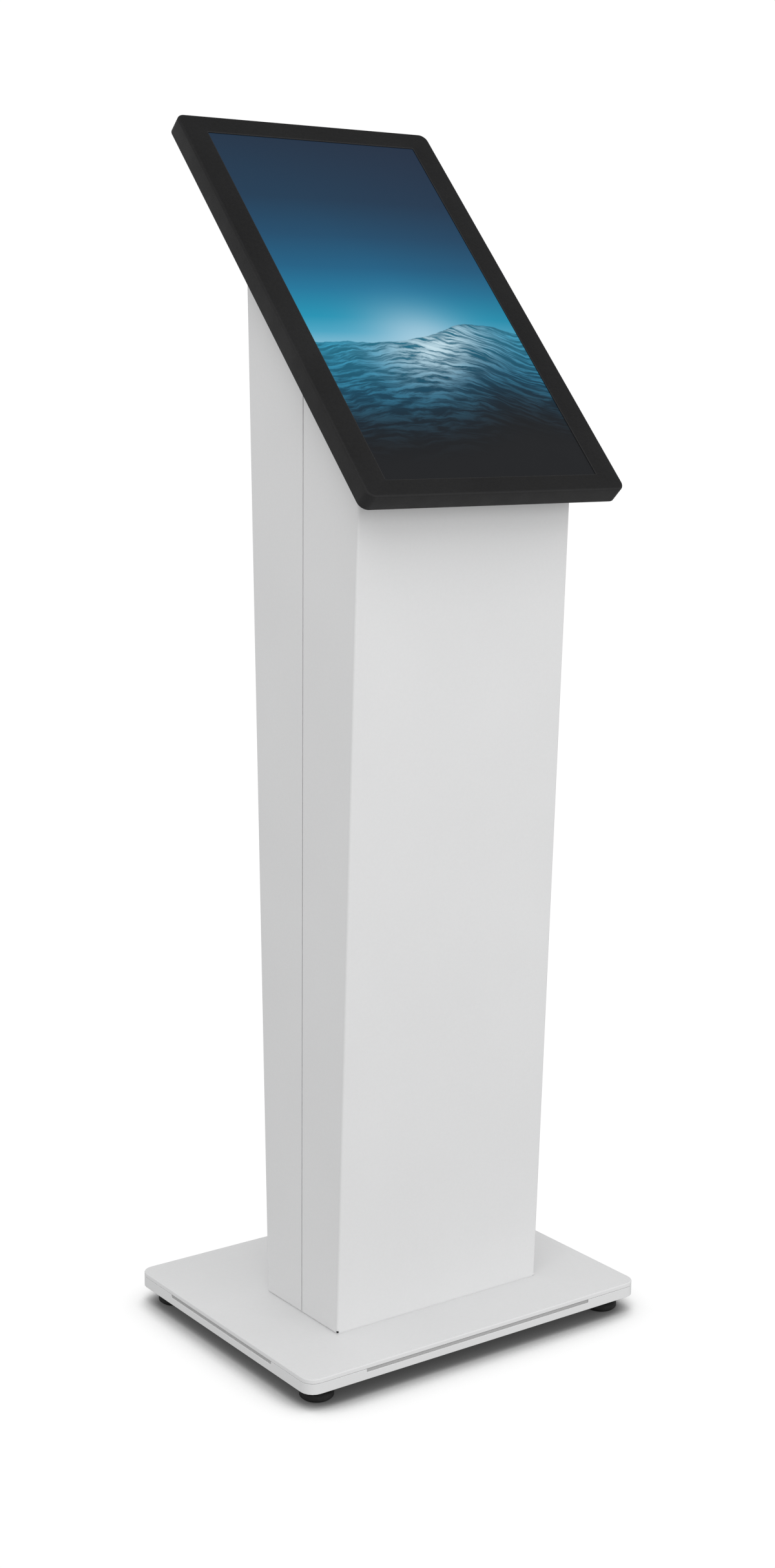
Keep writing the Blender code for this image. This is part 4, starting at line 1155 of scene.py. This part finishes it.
def make_rocker_marks():
    """The usual line for on and ring for off, raised on the rocker's two faces."""
    centre = joint_place("rocker_tip", REAR)
    low, high = corners("rocker_switch", REAR)
    centre.x = (low.x + high.x) / 2
    tipped = turned_to(REAR, centre, ROCKER_TIP, "X")
    sunk, raised = -0.0002, 0.00018
    line = bmesh.new()
    soft_box((-0.0003, sunk, -0.0014), (0.0003, raised, 0.0014), 0.00012, 2, line)
    ring = [(0.0014, sunk), (0.0014, raised), (0.0010, raised), (0.0010, sunk)]
    ring = turned(ring, (0, 0), "y", 32, True)
    for name, mark, sign in (("rocker_on_mark", line, 1), ("rocker_off_mark", ring, -1)):
        point = (0.0, ROCKER_CREST + ROCKER_MARK * math.tan(ROCKER_SLOPE), -sign * ROCKER_MARK)
        place = turned_to(tipped, point, sign * ROCKER_SLOPE, "X")
        piece(name, mark, "white_paint", "rocker", place, MARKING)


def port(x, y, z, width, height, bm, tongue=True):
    """A socket's metal shell, a little proud of a panel that faces +y, with a tongue inside."""
    outer = rounded_outline(width + 0.0010, height + 0.0010, 0.0009, 3)
    inner = rounded_outline(width, height, 0.0005, 3)
    steps = ((outer, -GAP), (outer, 0.0009), (inner, 0.0009), (inner, -GAP))
    loft([upright_ring(outline, y + out, z, x) for outline, out in steps], True, bm)
    if tongue:
        low = (x - width * 0.38, y - GAP, z + height * 0.02)
        soft_box(low, (x + width * 0.38, y + 0.0006, z + height * 0.30), 0.0002, 1, bm)


def make_player_details():
    """Ports, a power key and a lamp on the end of the media player that faces the door."""
    low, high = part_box("media_player")
    y = high.y
    middle = (low.z + high.z) / 2 - 0.0015
    shells = bmesh.new()
    for i in range(3):
        port(low.x + 0.024 + 0.0185 * i, y, middle, 0.0131, 0.0056, shells)
    port(low.x + 0.084, y, middle + 0.0010, 0.0146, 0.0118, shells, tongue=False)
    port(low.x + 0.107, y, middle, 0.0150, 0.0052, shells)
    piece("player_ports", shells, "zinc_steel", look=STEEL)
    key = [(0.0050, -GAP), (0.0050, 0.0006), (0.0042, 0.0006), (0.0042, 0.0002)]
    key += [(0.0036, 0.0002), (0.0036, 0.0010), (0.0010, 0.0012)]
    lens = [(0.0012, -GAP), (0.0012, 0.0005), (0.0005, 0.0007)]
    key, lens = [[(radius, y + out) for radius, out in profile] for profile in (key, lens)]
    button = turned(soften(key, 0.0002, 2), (low.x + 0.130, middle), "y", 36)
    piece("player_key", button, "zinc_steel", look=STEEL)
    light = turned(soften(lens, 0.0002), (low.x + 0.140, middle), "y", 20)
    piece("player_lamp", light, "touch_glass", look=GREEN_LAMP)


def overmould(name, lead, below, way, length, half_y, half_z):
    """A plug's moulded body, with a ribbed neck, where a lead ends. The lead leaves the other way along x."""
    end = lead_end(lead, below, -way)
    corner = min(half_y, half_z) * 0.6
    rings = []
    for out, scale in ((0.0, 0.94), (0.0006, 1.0), (length * 0.62, 1.0), (length * 0.68, 0.92)):
        outline = rounded_outline(2 * half_y * scale, 2 * half_z * scale, corner * scale, 5)
        rings.append(side_ring(outline, end.x + way * out, end.y, end.z))
    neck, ribs = length * 0.70, 8
    for i in range(ribs + 1):
        out = neck + (length - neck) * i / ribs
        radius = LEAD_RADIUS[lead] * (1.9 - 0.6 * i / ribs + (0.18 if i % 2 else 0.0))
        outline = rounded_outline(2 * radius, 2 * radius, radius * 0.98, 5)
        rings.append(side_ring(outline, end.x + way * out, end.y, end.z))
    piece(name, loft(rings), "black_plastic")


def make_lead_ends():
    overmould("video_plug", "video_lead", 0.5, 1, 0.0125, 0.0095, 0.0048)
    overmould("display_power_plug", "display_power_lead", 0.5, 1, 0.0110, 0.0058, 0.0058)
    overmould("mains_plug", "mains_lead", 0.08, -1, 0.0100, 0.0090, 0.0070)


def make_cable_ties():
    """Ties round the two long leads."""
    for lead in ("video_lead", "display_power_lead"):
        near = LEAD_RADIUS[lead] + CLEAR
        far = LEAD_RADIUS[lead] + 0.0010
        bands = bmesh.new()
        for height in TIE_HEIGHTS:
            centre = lead_section(lead, height)
            low, high = centre.z - 0.0013, centre.z + 0.0013
            section = [(near, low), (far, low), (far, high), (near, high)]
            turned(section, (centre.x, centre.y), segments=28, hollow=True, bm=bands)
            head_low = (centre.x - far - 0.0030, centre.y - 0.0021, centre.z - 0.0021)
            head_high = (centre.x - far + 0.0004, centre.y + 0.0021, centre.z + 0.0021)
            soft_box(head_low, head_high, 0.0005, 2, bands)
        piece(f"{lead}_ties", bands, "black_plastic")


def make_shelf_screws():
    low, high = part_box("equipment_shelf")
    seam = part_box("front_cover")[1].y
    for side, sign in (("left", -1), ("right", 1)):
        heads = bmesh.new()
        for y in (seam - 0.012, seam + 0.012):
            domed_head(-sign * y, 0.0, low.z + 0.0175, 0.0042, 0.0022, heads)
        inner = low.x + SHEET if sign < 0 else high.x - SHEET
        place = turned_to(WORLD, (inner, 0.0, 0.0), sign * math.pi / 2)
        piece(f"shelf_screws_{side}", heads, "zinc_steel", place=place, look=STEEL)


def make_electronics():
    make_inlet_blades()
    make_rocker_marks()
    make_player_details()
    make_lead_ends()
    make_cable_ties()
    make_shelf_screws()


# ---- studio


def make_camera():
    data = bpy.data.cameras.new("camera")
    data.lens = CAMERA_LENS
    data.sensor_fit = "AUTO"
    data.sensor_width = SENSOR
    camera = bpy.data.objects.new("camera", data)
    turn = Matrix.Rotation(CAMERA_TURN, 4, "Z") @ Matrix.Rotation(CAMERA_PITCH, 4, "X")
    turn = turn @ Matrix.Rotation(CAMERA_ROLL, 4, "Z")
    camera.matrix_world = Matrix.Translation(CAMERA_PLACE) @ turn
    bpy.context.scene.collection.objects.link(camera)
    bpy.context.scene.camera = camera


def make_floor():
    """White floor that looks as white as paper, with a soft shadow only where the kiosk is close over it."""
    bm = bmesh.new()
    bmesh.ops.create_grid(bm, x_segments=8, y_segments=8, size=40.0)
    mesh = bpy.data.meshes.new("floor")
    bm.to_mesh(mesh)
    bm.free()
    floor = bpy.data.objects.new("floor", mesh)
    floor.location.z = -0.0002
    bpy.context.scene.collection.objects.link(floor)
    look = Look("floor_white", grey(0.0), roughness=1.0, specular=0.0)
    reach = look.node("AmbientOcclusion", {"Distance": 0.14}, "AO", samples=16)
    shade = look.greys(reach, (0.0, 0.03), (0.35, 0.12), (0.58, 0.48), (0.76, 0.91), (0.92, PAPER_WHITE))
    look.set("Emission Color", shade)
    seen = look.node("LightPath", output="Is Camera Ray")
    look.set("Emission Strength", look.span(seen, 0.0, 1.0, FLOOR_LIGHT, 1.0))
    look.material.cycles.emission_sampling = "NONE"
    mesh.materials.append(look.material)


def make_world():
    """Even white surroundings, a little dimmer for the light they give than for how they look.

    Reflections see a ceiling that is darker than the walls, as in a room.
    """
    world = bpy.data.worlds.new("studio")
    bpy.context.scene.world = world
    world.use_nodes = True
    kit = NodeKit(world.node_tree)
    background = kit.nodes["Background"]
    background.inputs["Color"].default_value = grey(1.0)
    direction = kit.node("TexCoord", output="Generated")
    height = kit.node("SeparateXYZ", {0: direction}, "Z")
    reflected = kit.span(height, 0.15, 0.75, ROOM_LIGHT, ROOM_LIGHT * CEILING_GLOSS)
    given = kit.span(kit.node("LightPath", output="Is Glossy Ray"), 0.0, 1.0, ROOM_LIGHT, reflected)
    seen = kit.node("LightPath", output="Is Camera Ray")
    kit.feed(background.inputs["Strength"], kit.span(seen, 0.0, 1.0, given, PAPER_WHITE))
    world.cycles.sampling_method = "NONE"


def make_light(name, place, target, size, power):
    data = bpy.data.lights.new(name, "AREA")
    data.shape = "SQUARE"
    data.size = size
    data.energy = power
    light = bpy.data.objects.new(name, data)
    light.location = place
    bpy.context.scene.collection.objects.link(light)
    direction = Vector(target) - light.location
    light.rotation_euler = direction.to_track_quat("-Z", "Y").to_euler()


def make_studio():
    make_camera()
    make_floor()
    make_world()
    make_light("key", (0.8, -4.0, 1.2), (0.0, 0.0, 0.75), 2.4, KEY_POWER)
    make_light("top", (-1.7, -1.7, 2.9), (0.0, 0.0, 0.3), 2.0, TOP_POWER)
    bpy.context.scene.view_settings.view_transform = "Standard"


finish_nodes()
make_display()
make_column()
make_door()
make_electronics()
make_studio()
